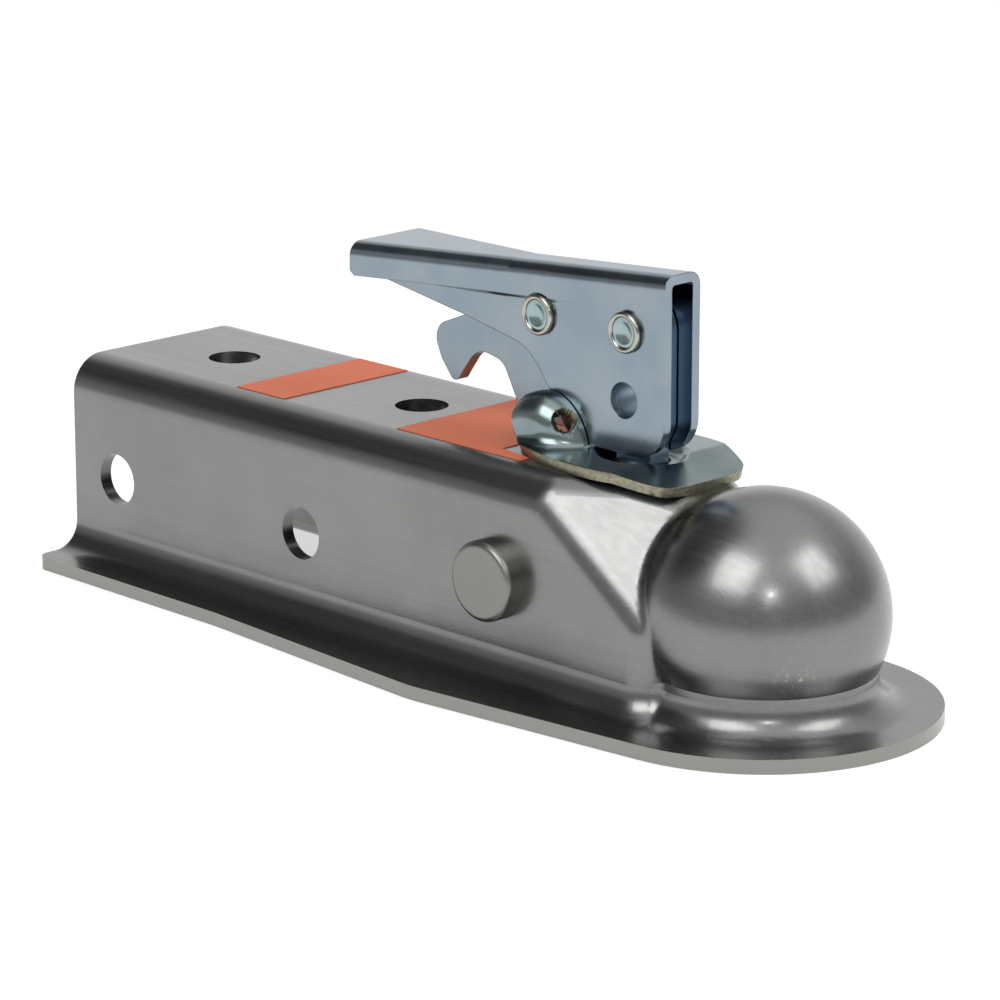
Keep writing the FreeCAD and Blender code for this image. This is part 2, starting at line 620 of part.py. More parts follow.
# Clamp spring round the bolt, from the clamp's web up to the underside of the saddle's dish
SPRING_LOW = WEB_TOP + PIN_Z + "spring_seat"
SPRING_TOP = PLATE_TOP - "dish_deep" - "saddle_gauge"
WIRE_R = size("spring_wire") / 2
coil = doc.addObject("Part::Helix", "spring_path")
bind(coil, Radius=size("spring_mean") / 2, Height=SPRING_TOP - SPRING_LOW - "spring_wire" - 0.1,
     Pitch=(SPRING_TOP - SPRING_LOW - "spring_wire" - 0.1) / "spring_turns")
bind(coil, Placement_Base_x=BOLT_X, Placement_Base_z=SPRING_LOW + WIRE_R)
section = doc.addObject("Part::Circle", "spring_section")
section.Placement = FreeCAD.Placement(Vector(0, 0, 0), Rotation(Vector(1, 0, 0), 90))
bind(section, Radius=WIRE_R, Placement_Base_x=BOLT_X + size("spring_mean") / 2,
     Placement_Base_z=SPRING_LOW + WIRE_R)
doc.recompute()
spring = doc.addObject("Part::Sweep", "clamp_spring")
spring.Label = "clamp_spring"
spring.Sections = [section]
spring.Spine = (coil, ["Edge1"])
spring.Solid = True
spring.Frenet = True

# Saddle plate: a pressed plate on the roof, with a dish round the bolt and a hood behind it that is
# slotted down its middle for the lever and the trigger, which leaves two ears
FLAT = Rotation()
SIDEWAYS = Rotation(Vector(1, 0, 0), 90)
ENDWAYS = Rotation(Vector(1, 1, 1), 120)


def rounded_face(corners, turn, start=Vector(0, 0, 0)):
    """A face with rounded corners (u, v) or (u, v, radius), turned into its plane and put in place."""
    points = [Vector(size(c[0]).value, size(c[1]).value, 0) for c in corners]
    edges = []
    ends = []
    for i, corner in enumerate(corners):
        near = far = points[i]
        if len(corner) == 3:
            radius = size(corner[2]).value
            near, far, centre, _ = rounding(points[i - 1], points[i], points[(i + 1) % len(points)], radius)
            middle = centre + (points[i] - centre).normalize() * radius
            edges.append(Part.Arc(near, middle, far).toShape())
        ends.append((near, far))
    for i, (near, _) in enumerate(ends):
        edges.append(Part.makeLine(ends[i - 1][1], near))
    face = Part.Face(Part.Wire(Part.__sortEdges__(edges)))
    face.Placement = FreeCAD.Placement(start, turn)
    return face


def saddle_sheet():
    """The flat of the saddle: its front lip follows the falling roof, and its rim is rounded."""
    half = size("saddle_mid_half").value + 3
    roof, top = ROOF.value, PLATE_TOP.value
    fall = math.tan(math.radians(size("roof_fall").value))
    bend_x, tip_x = -size("roof_fall_back").value, -size("saddle_tip_back").value + 1
    drop = (tip_x - bend_x) * fall
    rear = -size("saddle_rear_back").value
    bend = size("saddle_lip_bend")
    side = rounded_face([
        (rear, roof), (bend_x, roof, bend), (tip_x, roof - drop),
        (tip_x, top - drop), (bend_x + 0.3, top, bend), (rear, top),
    ], SIDEWAYS, Vector(0, -half, 0)).extrude(Vector(0, 2 * half, 0))
    half_plan = [
        ("saddle_rear_back", "saddle_rear_half", "saddle_corner"),
        ("saddle_waist_back", "saddle_waist_half", "saddle_waist_bend"),
        ("saddle_mid_back", "saddle_mid_half", "saddle_mid_bend"),
        ("saddle_wide_back", "saddle_mid_half", "saddle_wide_bend"),
        ("saddle_front_back", "saddle_front_half", "saddle_corner"),
    ]
    near_side = [(-size(back), -size(wide), bend) for back, wide, bend in half_plan]
    far_side = [(-size(back), size(wide), bend) for back, wide, bend in reversed(half_plan)]
    tip = [(-size("saddle_tip_back"), 0, "saddle_tip_bend")]
    plan = rounded_face(near_side + tip + far_side, FLAT, Vector(0, 0, roof - drop - 2))
    plan = plan.extrude(Vector(0, 0, top - roof + drop + 4))
    sheet_form = side.common(plan).Solids[0]
    rim = []
    for edge in sheet_form.Edges:
        box = edge.BoundBox
        if box.XLength + box.YLength > 0.3 and on_skin(plan, edge_middle(edge)):
            rim.append(edge)
    return sheet_form.makeFillet(size("saddle_rim_round").value, rim)


HOOD_RUN = 1.0
HOOD_INSIDE_SHARE = 0.66


def hood_section(share, inset):
    """The hood's section at a share of its way down from the brow to its foot."""
    down = (1 - math.cos(math.pi * share)) / 2
    low = ROOF.value + 0.6 if inset == 0 else PLATE_TOP.value

    def between(first, last):
        first, last = size(first).value, size(last).value
        return first + (last - first) * down

    back = size("hood_brow_back").value * (1 - share) + size("hood_foot_back").value * share
    wall = between("hood_half", "hood_foot_half") - inset
    crest = between("hood_crest", "hood_foot_crest") - inset
    bend = max(between("hood_shoulder", "hood_foot_round") - inset, size("hood_foot_round").value)
    return rounded_face([
        (-wall, low), (wall, low), (wall, crest, bend), (-wall, crest, bend),
    ], ENDWAYS, Vector(-back - inset, 0, 0))


def hood_form(inset):
    """The hood's outer form, or its inner form when it is inset by the sheet's thickness."""
    run = HOOD_RUN if inset == 0 else HOOD_RUN * HOOD_INSIDE_SHARE
    steps = 5
    sections = [hood_section(run * i / (steps - 1), inset) for i in range(steps)]
    front = Part.makeLoft([section.OuterWire for section in sections], True, False)
    length = size("saddle_rear_back").value - size("hood_brow_back").value
    rear = sections[0].extrude(Vector(-length, 0, 0))
    return front.fuse(rear).Solids[0]


def saddle_form():
    """The saddle plate before its holes are pierced."""
    top = PLATE_TOP.value
    gauge = size("saddle_gauge").value
    sheet_form = saddle_sheet()
    hood = hood_form(0)
    whole = sheet_form.fuse(hood).removeSplitter().Solids[0]
    whole = whole.cut(hood_form(gauge)).Solids[0]
    slot = size("ear_slot_half").value
    rear = -size("saddle_rear_back").value
    tall = size("hood_crest").value
    whole = whole.cut(Part.makeBox(-rear, 2 * slot, tall, Vector(rear - 5, -slot, top))).Solids[0]
    floor = top - size("dish_deep").value
    boss = Part.makeCylinder(size("dish_outer_dia").value / 2, ROOF.value + 0.5 - floor + gauge,
                             Vector(BOLT_X.value, 0, floor - gauge))
    boss = boss.makeFillet(size("dish_foot_round").value, [edge for edge in boss.Edges if lies(edge, z=floor - gauge)])
    whole = whole.fuse(boss).removeSplitter().Solids[0]
    dish = Part.makeCone(size("dish_floor_dia").value / 2, size("dish_top_dia").value / 2, top - floor,
                         Vector(BOLT_X.value, 0, floor))
    return whole.cut(dish).Solids[0]


saddle_blank = doc.addObject("Part::Feature", "saddle_blank")
saddle_blank.Shape = saddle_form()
EAR_ACROSS = size("hood_half") * 2 + 4
saddle_holes = doc.addObject("Part::MultiFuse", "saddle_holes")
saddle_holes.Shapes = [
    cutter("ear_hole", size("ear_hole_dia") / 2, EAR_ACROSS, "Y", x=-size("ear_hole_back"),
           y=EAR_ACROSS / 2, z="ear_hole_up"),
    cutter("bolt_hole", BOLT_R + "bolt_hole_play", size("saddle_gauge") * 3, "Z", x=BOLT_X,
           z=ROOF - size("saddle_gauge") * 2),
]
saddle = doc.addObject("Part::Cut", "saddle_plate")
saddle.Label = "saddle_plate"
saddle.Base = saddle_blank
saddle.Tool = saddle_holes

# Lever: one folded sheet, a narrow channel over the bolt that flares to a thumb grip at the rear
GAP_HALF = size("lever_gap") / 2
LEVER_HALF = GAP_HALF + "lever_gauge"


def lever_section(name, back, top, half, step, joggle, inset):
    """A section of the folded channel at one station, drawn in the plane across the lever."""
    sketch = doc.addObject("Sketcher::SketchObject", name)
    sketch.Placement = FreeCAD.Placement(Vector(0, 0, 0), Rotation(Vector(1, 1, 1), 120))
    bind(sketch, Placement_Base_x=-size(back))
    low = size("lever_foot") - 4
    narrow = LEVER_HALF - inset
    wide = size(half) + step - inset
    knee = size(joggle) + inset
    bend = size("lever_top_bend") - inset
    crest = size(top) - inset
    add_outline(sketch, [
        (-narrow, low),
        (narrow, low),
        (narrow, knee),
        (wide, knee + "joggle_tall"),
        (wide, crest, bend),
        (-wide, crest, bend),
        (-wide, knee + "joggle_tall"),
        (-narrow, knee),
    ])
    return sketch


def lever_loft(name, inset, reach):
    """The channel's outer or inner form, lofted straight between its stations."""
    front = size("lever_front_back") - reach
    stations = [
        lever_section(name + "_front", front, "lever_top_front", LEVER_HALF, 0.05, "joggle_front", inset),
        lever_section(name + "_knee", "lever_knee_back", "lever_top_knee", LEVER_HALF, "lever_step",
                      "joggle_knee", inset),
        lever_section(name + "_rear", size("lever_rear_back") + reach, "lever_top_rear", "lever_rear_half",
                      0, "joggle_rear", inset),
    ]
    loft = doc.addObject("Part::Loft", name)
    loft.Sections = stations
    loft.Solid = True
    loft.Ruled = True
    return loft


def side_plate(name, corners, half):
    """A plate drawn from the side and given its width to both sides of the middle."""
    sketch = doc.addObject("Sketcher::SketchObject", name + "_side")
    sketch.Placement = FreeCAD.Placement(Vector(0, 0, 0), Rotation(Vector(1, 0, 0), 90))
    add_outline(sketch, corners)
    plate = doc.addObject("Part::Extrusion", name)
    plate.Base = sketch
    plate.DirMode = "Normal"
    plate.Symmetric = True
    plate.Solid = True
    bind(plate, LengthFwd=size(half) * 2)
    return plate


def combine(kind, name, first, second):
    feature = doc.addObject(kind, name)
    feature.Label = name
    feature.Base = first
    feature.Tool = second
    return feature


outer = lever_loft("lever_outer", size(0), size(0))
inner = lever_loft("lever_inner", size("lever_gauge"), size(1))
channel = combine("Part::Cut", "lever_channel", outer, inner)
TOP_OVER = size("lever_top_front") + 3
outline = side_plate("lever_outline", [
    (-size("lever_front_back"), TOP_OVER),
    (-size("lever_rear_back"), TOP_OVER),
    (-size("lever_rear_back") - 0.0, size("lever_grip_rear") + 2),
    (-size("lever_grip_rear_back"), "lever_grip_rear"),
    (-size("lever_grip_back"), "lever_grip", 30),
    (-size("lever_bow_back"), "lever_bow", 14),
    (-size("lever_throat_back"), "lever_throat", 8),
    (-size("lever_heel_back"), "lever_heel", 6),
    (-size("lever_foot_rear_back"), "lever_foot", 5),
    (-size("lever_front_back"), "lever_foot", "lever_foot_corner"),
], size("lever_rear_half") + 2)
trimmed = combine("Part::Common", "lever_trimmed", channel, outline)
RIVET_R = size("rivet_dia") / 2
LEVER_ACROSS = LEVER_HALF * 2 + 8
SEAT_R = size("rivet_head_dia") / 2 + "rivet_seat_play"
SEAT_OUT = size("lever_gauge")
lever_holes = doc.addObject("Part::MultiFuse", "lever_holes")
lever_holes.Shapes = [
    cutter("pivot_hole", RIVET_R, LEVER_ACROSS, "Y", x=BOLT_X, y=LEVER_ACROSS / 2, z=PIVOT_Z),
    cutter("catch_hole", RIVET_R, LEVER_ACROSS, "Y", x=-size("catch_back"), y=LEVER_ACROSS / 2, z="catch_up"),
    cutter("lock_hole", size("lock_hole_dia") / 2, LEVER_ACROSS, "Y", x=-size("lock_back"),
           y=LEVER_ACROSS / 2, z="lock_up"),
    cutter("pivot_seat_near", SEAT_R, SEAT_OUT, "Y", x=BOLT_X, y=-LEVER_HALF, z=PIVOT_Z),
    cutter("pivot_seat_far", SEAT_R, SEAT_OUT, "Y", x=BOLT_X, y=LEVER_HALF + SEAT_OUT, z=PIVOT_Z),
    cutter("catch_seat_near", SEAT_R, SEAT_OUT, "Y", x=-size("catch_back"), y=-LEVER_HALF, z="catch_up"),
    cutter("catch_seat_far", SEAT_R, SEAT_OUT, "Y", x=-size("catch_back"), y=LEVER_HALF + SEAT_OUT,
           z="catch_up"),
]
lever = combine("Part::Cut", "lever_handle", trimmed, lever_holes)


def rivet(label, back, up, half):
    """A rivet across the lever with a dished head on each side."""
    body = new_body(label, x=-size(back), z=up)
    face = half + "rivet_head_tall"
    head = size("rivet_head_dia") / 2
    rim = size("rivet_head_tall") * 0.4
    bowl = size("rivet_dish_deep") * 0.95
    profile = new_sketch(body, label + "_profile", "XY_Plane")
    add_outline(profile, [
        (0, -face + "rivet_dish_deep"),
        (size("rivet_dish_dia") / 2, -face + "rivet_dish_deep", bowl),
        (size("rivet_dish_dia") / 2, -face),
        (head, -face, rim),
        (head, -half),
        (RIVET_R, -half),
        (RIVET_R, half),
        (head, half),
        (head, face, rim),
        (size("rivet_dish_dia") / 2, face),
        (size("rivet_dish_dia") / 2, face - "rivet_dish_deep", bowl),
        (0, face - "rivet_dish_deep"),
    ])
    turned(body, label + "_turning", profile)
    return body


RIVET_SEAT = LEVER_HALF
pivot_rivet = rivet("pivot_rivet", "bolt_back", PIVOT_Z, RIVET_SEAT)
trigger_rivet = rivet("trigger_rivet", "catch_back", "catch_up", RIVET_SEAT)

# Trigger: a stamped plate on the rear rivet, with a finger hook behind and a catch nose below
trigger = new_body("trigger", x=-size("catch_back"), z="catch_up")


def trigger_corner(name):
    """A corner of the trigger's outline, in the frame of its own rivet."""
    alias = "trigger_%s_" % name
    return size("catch_back") - (alias + "back"), size(alias + "up") - "catch_up", alias + "round"


sketch = new_sketch(trigger, "trigger_side", "XZ_Plane")
add_outline(sketch, [trigger_corner(name) for name in TRIGGER_CORNERS])
pad(trigger, "trigger_blank", sketch, "trigger_thick", symmetric=True)
sketch = new_sketch(trigger, "trigger_bore_round", "XZ_Plane")
add_circle(sketch, 0, 0, RIVET_R + "rivet_fit")
pocket(trigger, "trigger_bore", sketch, size("trigger_thick") + 2, symmetric=True)

# Two bushes hold the trigger in the middle of the lever
for label, hand in (("trigger_bush_near", -1), ("trigger_bush_far", 1)):
    bush = new_body(label, x=-size("catch_back"), z="catch_up")
    inside = (size("trigger_thick") / 2 + "bush_gap") * hand
    outside = GAP_HALF * hand
    profile = new_sketch(bush, label + "_profile", "XY_Plane")
    add_outline(profile, [
        (RIVET_R, inside),
        (size("trigger_bush_dia") / 2, inside),
        (size("trigger_bush_dia") / 2, outside),
        (RIVET_R, outside),
    ])
    turned(bush, label + "_turning", profile)

# Trigger spring: one turn of wire round a bush, with a leg on the trigger and a leg in the lever
RETURN_R = size("return_wire") / 2
COIL_R = size("return_mean") / 2
RETURN_Y = -(size("trigger_thick") / 2 + "return_gap") - RETURN_R


def return_spring_path():
    """The wire's centre line: a front leg, one turn that creeps sideways, and a rear leg."""
    radius = COIL_R.value
    creep = size("return_wire").value * 1.06
    start_y = RETURN_Y.value
    centre = Vector(-size("catch_back").value, 0, size("catch_up").value)
    lead = Part.makeHelix(creep, creep, radius)
    lead.Placement = FreeCAD.Placement(
        centre + Vector(0, start_y, 0), Rotation(Vector(1, 0, 0), 90))
    coil = lead.Edges[0]
    start = coil.valueAt(coil.FirstParameter)
    end = coil.valueAt(coil.LastParameter)
    leg = size("return_leg").value
    front = Part.makeLine(start - coil.tangentAt(coil.FirstParameter) * leg, start)
    rear = Part.makeLine(end, end + coil.tangentAt(coil.LastParameter) * leg * 0.4)
    return Part.Wire([front, coil, rear])


def return_spring():
    """The wire swept along its centre line."""
    path = return_spring_path()
    first = path.Edges[0]
    along = first.tangentAt(first.FirstParameter)
    section = Part.Wire(Part.makeCircle(RETURN_R.value, first.valueAt(first.FirstParameter), along))
    return path.makePipeShell([section], True, True)


trigger_spring = doc.addObject("Part::Feature", "trigger_spring")
trigger_spring.Label = "trigger_spring"
trigger_spring.Shape = return_spring()

# Two plain paper labels on the roof
LABEL_LOW = size("label_shift") - "label_half"
LABEL_HIGH = size("label_shift") + "label_half"
label_rear = new_body("label_rear")
sketch = new_sketch(label_rear, "label_rear_plan", "XY_Plane", ROOF)
add_outline(sketch, [
    (-size("rear_label_rear"), LABEL_LOW),
    (-size("rear_label_front"), LABEL_LOW),
    (-size("rear_label_front"), LABEL_HIGH),
    (-size("rear_label_rear"), LABEL_HIGH),
])
pad(label_rear, "label_rear_paper", sketch, "label_thick")
label_front = new_body("label_front")
sketch = new_sketch(label_front, "label_front_plan", "XY_Plane", ROOF)
HORN = size("front_label_half")
add_outline(sketch, [
    (-size("front_label_rear"), LABEL_LOW),
    (-size("front_label_horn"), LABEL_LOW),
    (-size("front_label_horn"), -HORN),
    (-size("front_label_front"), -HORN + 1.5),
    (-size("front_label_front"), HORN - 1.5),
    (-size("front_label_horn"), HORN),
    (-size("front_label_horn"), LABEL_HIGH),
    (-size("front_label_rear"), LABEL_HIGH),
])
pad(label_front, "label_front_paper", sketch, "label_thick")

PIECES = [
    "coupler_body", "saddle_plate", "label_rear", "label_front", "clamp_pin", "pin_washer",
    "ball_clamp", "clamp_spring", "draw_bolt", "rocker_washer", "adjusting_nut",
    "lever_handle", "pivot_rivet", "trigger_rivet", "trigger", "trigger_bush_near", "trigger_bush_far",
    "trigger_spring",
]


def check_and_export():
    """Stop on any failed feature or bad shape, and write one file for each piece."""
    doc.recompute()
    for item in doc.Objects:
        if "Invalid" in item.State or "Error" in item.State:
            raise RuntimeError("%s failed: %s" % (item.Name, item.State))
    os.makedirs("parts", exist_ok=True)
    for label in PIECES:
        piece = doc.getObjectsByLabel(label)[0]
        shape = piece.Shape
        if shape.isNull() or not shape.isValid() or len(shape.Solids) != 1:
            raise RuntimeError("%s has a bad shape with %d solids" % (label, len(shape.Solids)))
        shape.exportStep("parts/%s.step" % label)
        box = shape.BoundBox
        print("%-18s %9.1f mm3  x %7.1f %7.1f  y %6.1f %6.1f  z %6.1f %6.1f" % (
            label, shape.Volume, box.XMin, box.XMax, box.YMin, box.YMax, box.ZMin, box.ZMax))


check_and_export()
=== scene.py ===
"""Looks of a trailer coupling head: a satin grey steel pressing under a bright zinc plated latch."""
import bmesh
import bpy
import math
from mathutils import Matrix, Vector


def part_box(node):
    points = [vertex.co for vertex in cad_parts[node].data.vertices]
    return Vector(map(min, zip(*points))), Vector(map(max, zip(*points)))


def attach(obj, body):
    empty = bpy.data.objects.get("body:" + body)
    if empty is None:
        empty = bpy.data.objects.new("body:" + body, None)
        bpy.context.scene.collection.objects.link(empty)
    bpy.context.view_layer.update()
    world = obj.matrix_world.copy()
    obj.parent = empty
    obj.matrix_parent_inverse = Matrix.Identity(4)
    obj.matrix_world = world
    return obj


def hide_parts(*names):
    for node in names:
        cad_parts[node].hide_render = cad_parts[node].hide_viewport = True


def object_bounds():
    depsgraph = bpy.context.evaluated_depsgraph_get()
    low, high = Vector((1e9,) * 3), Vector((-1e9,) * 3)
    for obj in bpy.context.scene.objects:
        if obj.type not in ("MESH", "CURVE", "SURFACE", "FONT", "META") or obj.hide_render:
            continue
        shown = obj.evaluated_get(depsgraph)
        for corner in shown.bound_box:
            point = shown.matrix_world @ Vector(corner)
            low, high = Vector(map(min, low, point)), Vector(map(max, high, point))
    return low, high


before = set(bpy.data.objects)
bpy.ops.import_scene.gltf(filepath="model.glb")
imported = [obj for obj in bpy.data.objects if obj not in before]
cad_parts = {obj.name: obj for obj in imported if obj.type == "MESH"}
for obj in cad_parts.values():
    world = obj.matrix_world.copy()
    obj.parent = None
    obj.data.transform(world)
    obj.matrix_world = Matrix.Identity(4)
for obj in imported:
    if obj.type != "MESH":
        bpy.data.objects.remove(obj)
cad_box = [list(corner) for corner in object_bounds()]


# Coupler body: one heavy pressing of low carbon steel sheet, drawn over the ball dome, trimmed
# round its flange and pierced for the tongue's bolts. It is zinc plated and left satin, not
# polished.
MM = 0.001


def linear(hex_colour):
    """An sRGB hex colour as linear red, green, blue and alpha."""
    parts = [int(hex_colour[i:i + 2], 16) / 255 for i in (1, 3, 5)]
    light = [p / 12.92 if p <= 0.04045 else ((p + 0.055) / 1.055) ** 2.4 for p in parts]
    return (*light, 1.0)


def add_node(tree, kind, inputs=None, **settings):
    """Add a node; inputs give a socket's value, or the output socket that is linked to it."""
    node = tree.nodes.new(kind)
    for name, value in settings.items():
        setattr(node, name, value)
    for socket, value in (inputs or {}).items():
        if isinstance(value, bpy.types.NodeSocket):
            tree.links.new(value, node.inputs[socket])
        else:
            node.inputs[socket].default_value = value
    return node


def new_material(name):
    """A material whose node tree is still empty, and that tree."""
    material = bpy.data.materials.new(name)
    material.use_nodes = True
    material.node_tree.nodes.clear()
    return material, material.node_tree


def per_mm(size_mm):
    """The scale of a noise, over Object coordinates in metres, whose patches are this wide."""
    return 1000.0 / size_mm


def dress(material, *names):
    """Give CAD nodes this material in place of the plain one that they carry."""
    for name in names:
        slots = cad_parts[name].data.materials
        slots.clear()
        slots.append(material)


BODY_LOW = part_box("coupler_body")[0][2]
FLANGE_THICK = 3.4 * MM
UPRIGHT_LEAN = 0.3
PRESSING_GREY = "#7F7F7E"
PRESSING_PALE = "#888887"
PRESSING_GLOSS = (0.25, 0.33)
TRIMMED_EDGE = "#8F908A"
CLOUD_MM = 24.0
DRAW_LINE_MM = 1.6
DRAW_RUN_MM = 70.0
GRAIN_MM = 0.6
SCUFF_GREY = "#C9C8C2"
SCUFF_MM = 2.2
SCUFF_DULLS = 0.25
SCUFF_PLACE = (23.8 * MM, -15.4 * MM, -6.8 * MM)
SCUFF_REACH = 5.5 * MM


def satin_zinc_pressing():
    """Satin zinc over drawn steel sheet, a metal: soft grey clouds, long faint lines where the
    sheet slid through the die, a fine grain, a pale trimmed edge and a few light scuffs low on the
    dome. A thin clear film on it keeps a sharper glint inside each soft highlight. The real grain
    is under 0.1 mm, and is drawn coarser so that it shows."""
    material, tree = new_material("satin_zinc_pressing")
    place = add_node(tree, "ShaderNodeTexCoord")
    cloud = add_node(tree, "ShaderNodeTexNoise", {
        "Vector": place.outputs["Object"], "Scale": per_mm(CLOUD_MM), "Detail": 4.0})
    tone = add_node(tree, "ShaderNodeMapRange", {
        "Value": cloud.outputs["Fac"], "From Min": 0.3, "From Max": 0.7})
    sheet = add_node(tree, "ShaderNodeMix", {
        "Factor": tone.outputs["Result"], "A": linear(PRESSING_GREY),
        "B": linear(PRESSING_PALE)}, data_type="RGBA")
    along = add_node(tree, "ShaderNodeMapping", {
        "Vector": place.outputs["Object"],
        "Scale": (per_mm(DRAW_RUN_MM), per_mm(DRAW_LINE_MM), per_mm(DRAW_LINE_MM))})
    lines = add_node(tree, "ShaderNodeTexNoise", {
        "Vector": along.outputs["Vector"], "Scale": 1.0, "Detail": 3.0})
    grain = add_node(tree, "ShaderNodeTexNoise", {
        "Vector": place.outputs["Object"], "Scale": per_mm(GRAIN_MM), "Detail": 2.0})

    where = add_node(tree, "ShaderNodeSeparateXYZ", {"Vector": place.outputs["Object"]})
    facing = add_node(tree, "ShaderNodeSeparateXYZ", {"Vector": place.outputs["Normal"]})
    lean = add_node(tree, "ShaderNodeMath", {0: facing.outputs["Z"]}, operation="ABSOLUTE")
    upright = add_node(tree, "ShaderNodeMath", {
        0: lean.outputs["Value"], 1: UPRIGHT_LEAN}, operation="LESS_THAN")
    low = add_node(tree, "ShaderNodeMath", {
        0: where.outputs["Z"], 1: BODY_LOW + FLANGE_THICK}, operation="LESS_THAN")
    trimmed = add_node(tree, "ShaderNodeMath", {
        0: upright.outputs["Value"], 1: low.outputs["Value"]}, operation="MULTIPLY")
    edged = add_node(tree, "ShaderNodeMix", {
        "Factor": trimmed.outputs["Value"], "A": sheet.outputs["Result"],
        "B": linear(TRIMMED_EDGE)}, data_type="RGBA")

    away = add_node(tree, "ShaderNodeVectorMath", {
        0: place.outputs["Object"], 1: SCUFF_PLACE}, operation="DISTANCE")
    near = add_node(tree, "ShaderNodeMapRange", {
        "Value": away.outputs["Value"], "From Min": SCUFF_REACH, "From Max": 0.3 * SCUFF_REACH})
    rub = add_node(tree, "ShaderNodeTexNoise", {
        "Vector": place.outputs["Object"], "Scale": per_mm(SCUFF_MM), "Detail": 5.0,
        "Roughness": 0.7})
    torn = add_node(tree, "ShaderNodeMapRange", {
        "Value": rub.outputs["Fac"], "From Min": 0.56, "From Max": 0.63})
    scuff = add_node(tree, "ShaderNodeMath", {
        0: near.outputs["Result"], 1: torn.outputs["Result"]}, operation="MULTIPLY")
    colour = add_node(tree, "ShaderNodeMix", {
        "Factor": scuff.outputs["Value"], "A": edged.outputs["Result"],
        "B": linear(SCUFF_GREY)}, data_type="RGBA")

    gloss = add_node(tree, "ShaderNodeMapRange", {
        "Value": lines.outputs["Fac"], "From Min": 0.25, "From Max": 0.75,
        "To Min": PRESSING_GLOSS[0], "To Max": PRESSING_GLOSS[1]})
    worn = add_node(tree, "ShaderNodeMath", {
        0: scuff.outputs["Value"], 1: SCUFF_DULLS, 2: gloss.outputs["Result"]},
        operation="MULTIPLY_ADD")
    relief = add_node(tree, "ShaderNodeMath", {
        0: lines.outputs["Fac"], 1: 0.35, 2: grain.outputs["Fac"]}, operation="MULTIPLY_ADD")
    bump = add_node(tree, "ShaderNodeBump", {
        "Height": relief.outputs["Value"], "Strength": 0.10, "Distance": 0.12 * MM})
    skin = add_node(tree, "ShaderNodeBsdfPrincipled", {
        "Base Color": colour.outputs["Result"], "Metallic": 1.0,
        "Roughness": worn.outputs["Value"], "Coat Weight": 0.3, "Coat Roughness": 0.13,
        "Normal": bump.outputs["Normal"]})
    add_node(tree, "ShaderNodeOutputMaterial", {"Surface": skin.outputs["BSDF"]})
    return material


dress(satin_zinc_pressing(), "coupler_body")


# Labels: two pieces of self-adhesive film on the roof, printed in one orange and left plain. They
# are matt, with the faint mottle of the ink on the film.
LABEL_ORANGE = "#D8714B"
LABEL_WORN = "#CD6946"
INK_MOTTLE_MM = 1.3


def printed_film():
    """Matt orange printed film, a dielectric: even colour with a faint mottle and a soft sheen."""
    material, tree = new_material("orange_printed_film")
    place = add_node(tree, "ShaderNodeTexCoord")
    mottle = add_node(tree, "ShaderNodeTexNoise", {
        "Vector": place.outputs["Object"], "Scale": per_mm(INK_MOTTLE_MM), "Detail": 3.0})
    ink = add_node(tree, "ShaderNodeMix", {
        "Factor": mottle.outputs["Fac"], "A": linear(LABEL_ORANGE), "B": linear(LABEL_WORN)},
        data_type="RGBA")
    bump = add_node(tree, "ShaderNodeBump", {
        "Height": mottle.outputs["Fac"], "Strength": 0.06, "Distance": 0.1 * MM})
    skin = add_node(tree, "ShaderNodeBsdfPrincipled", {
        "Base Color": ink.outputs["Result"], "Roughness": 0.55, "Specular IOR Level": 0.25,
        "Normal": bump.outputs["Normal"]})
    add_node(tree, "ShaderNodeOutputMaterial", {"Surface": skin.outputs["BSDF"]})
    return material


dress(printed_film(), "label_rear", "label_front")


# Clamp pin and its washer: a headed pin turned from bar, pushed across the channel and peened over
# the washer on the far side. Its flat head keeps the fine rings of the turning tool.
PIN_X, PIN_Z = [(low + high) / 2 for low, high in zip(*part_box("clamp_pin"))][0::2]
TURNED_GREY = "#848480"
TURNED_PALE = "#8E8D89"
TURN_RING_MM = 0.7
TURN_CLOUD_MM = 3.0


def turned_satin_steel():
    """Turned bar under satin zinc, a metal: a soft grey with faint rings round the pin's axis. The
    tool's real rings are about 0.2 mm apart, and are drawn wider so that they show."""
    material, tree = new_material("turned_satin_steel")
    place = add_node(tree, "ShaderNodeTexCoord")
    centred = add_node(tree, "ShaderNodeMapping", {
        "Vector": place.outputs["Object"], "Location": (-PIN_X, 0.0, -PIN_Z)})
    rings = add_node(tree, "ShaderNodeTexWave", {
        "Vector": centred.outputs["Vector"], "Scale": per_mm(TURN_RING_MM) / 20,
        "Distortion": 0.4}, wave_type="RINGS", rings_direction="Y")
    cloud = add_node(tree, "ShaderNodeTexNoise", {
        "Vector": place.outputs["Object"], "Scale": per_mm(TURN_CLOUD_MM), "Detail": 3.0})
    metal = add_node(tree, "ShaderNodeMix", {
        "Factor": cloud.outputs["Fac"], "A": linear(TURNED_GREY), "B": linear(TURNED_PALE)},
        data_type="RGBA")
    gloss = add_node(tree, "ShaderNodeMapRange", {
        "Value": cloud.outputs["Fac"], "To Min": 0.28, "To Max": 0.4})
    bump = add_node(tree, "ShaderNodeBump", {
        "Height": rings.outputs["Fac"], "Strength": 0.05, "Distance": 0.05 * MM})
    skin = add_node(tree, "ShaderNodeBsdfPrincipled", {
        "Base Color": metal.outputs["Result"], "Metallic": 1.0,
        "Roughness": gloss.outputs["Result"], "Normal": bump.outputs["Normal"]})
    add_node(tree, "ShaderNodeOutputMaterial", {"Surface": skin.outputs["BSDF"]})
    return material


dress(turned_satin_steel(), "clamp_pin", "pin_washer")


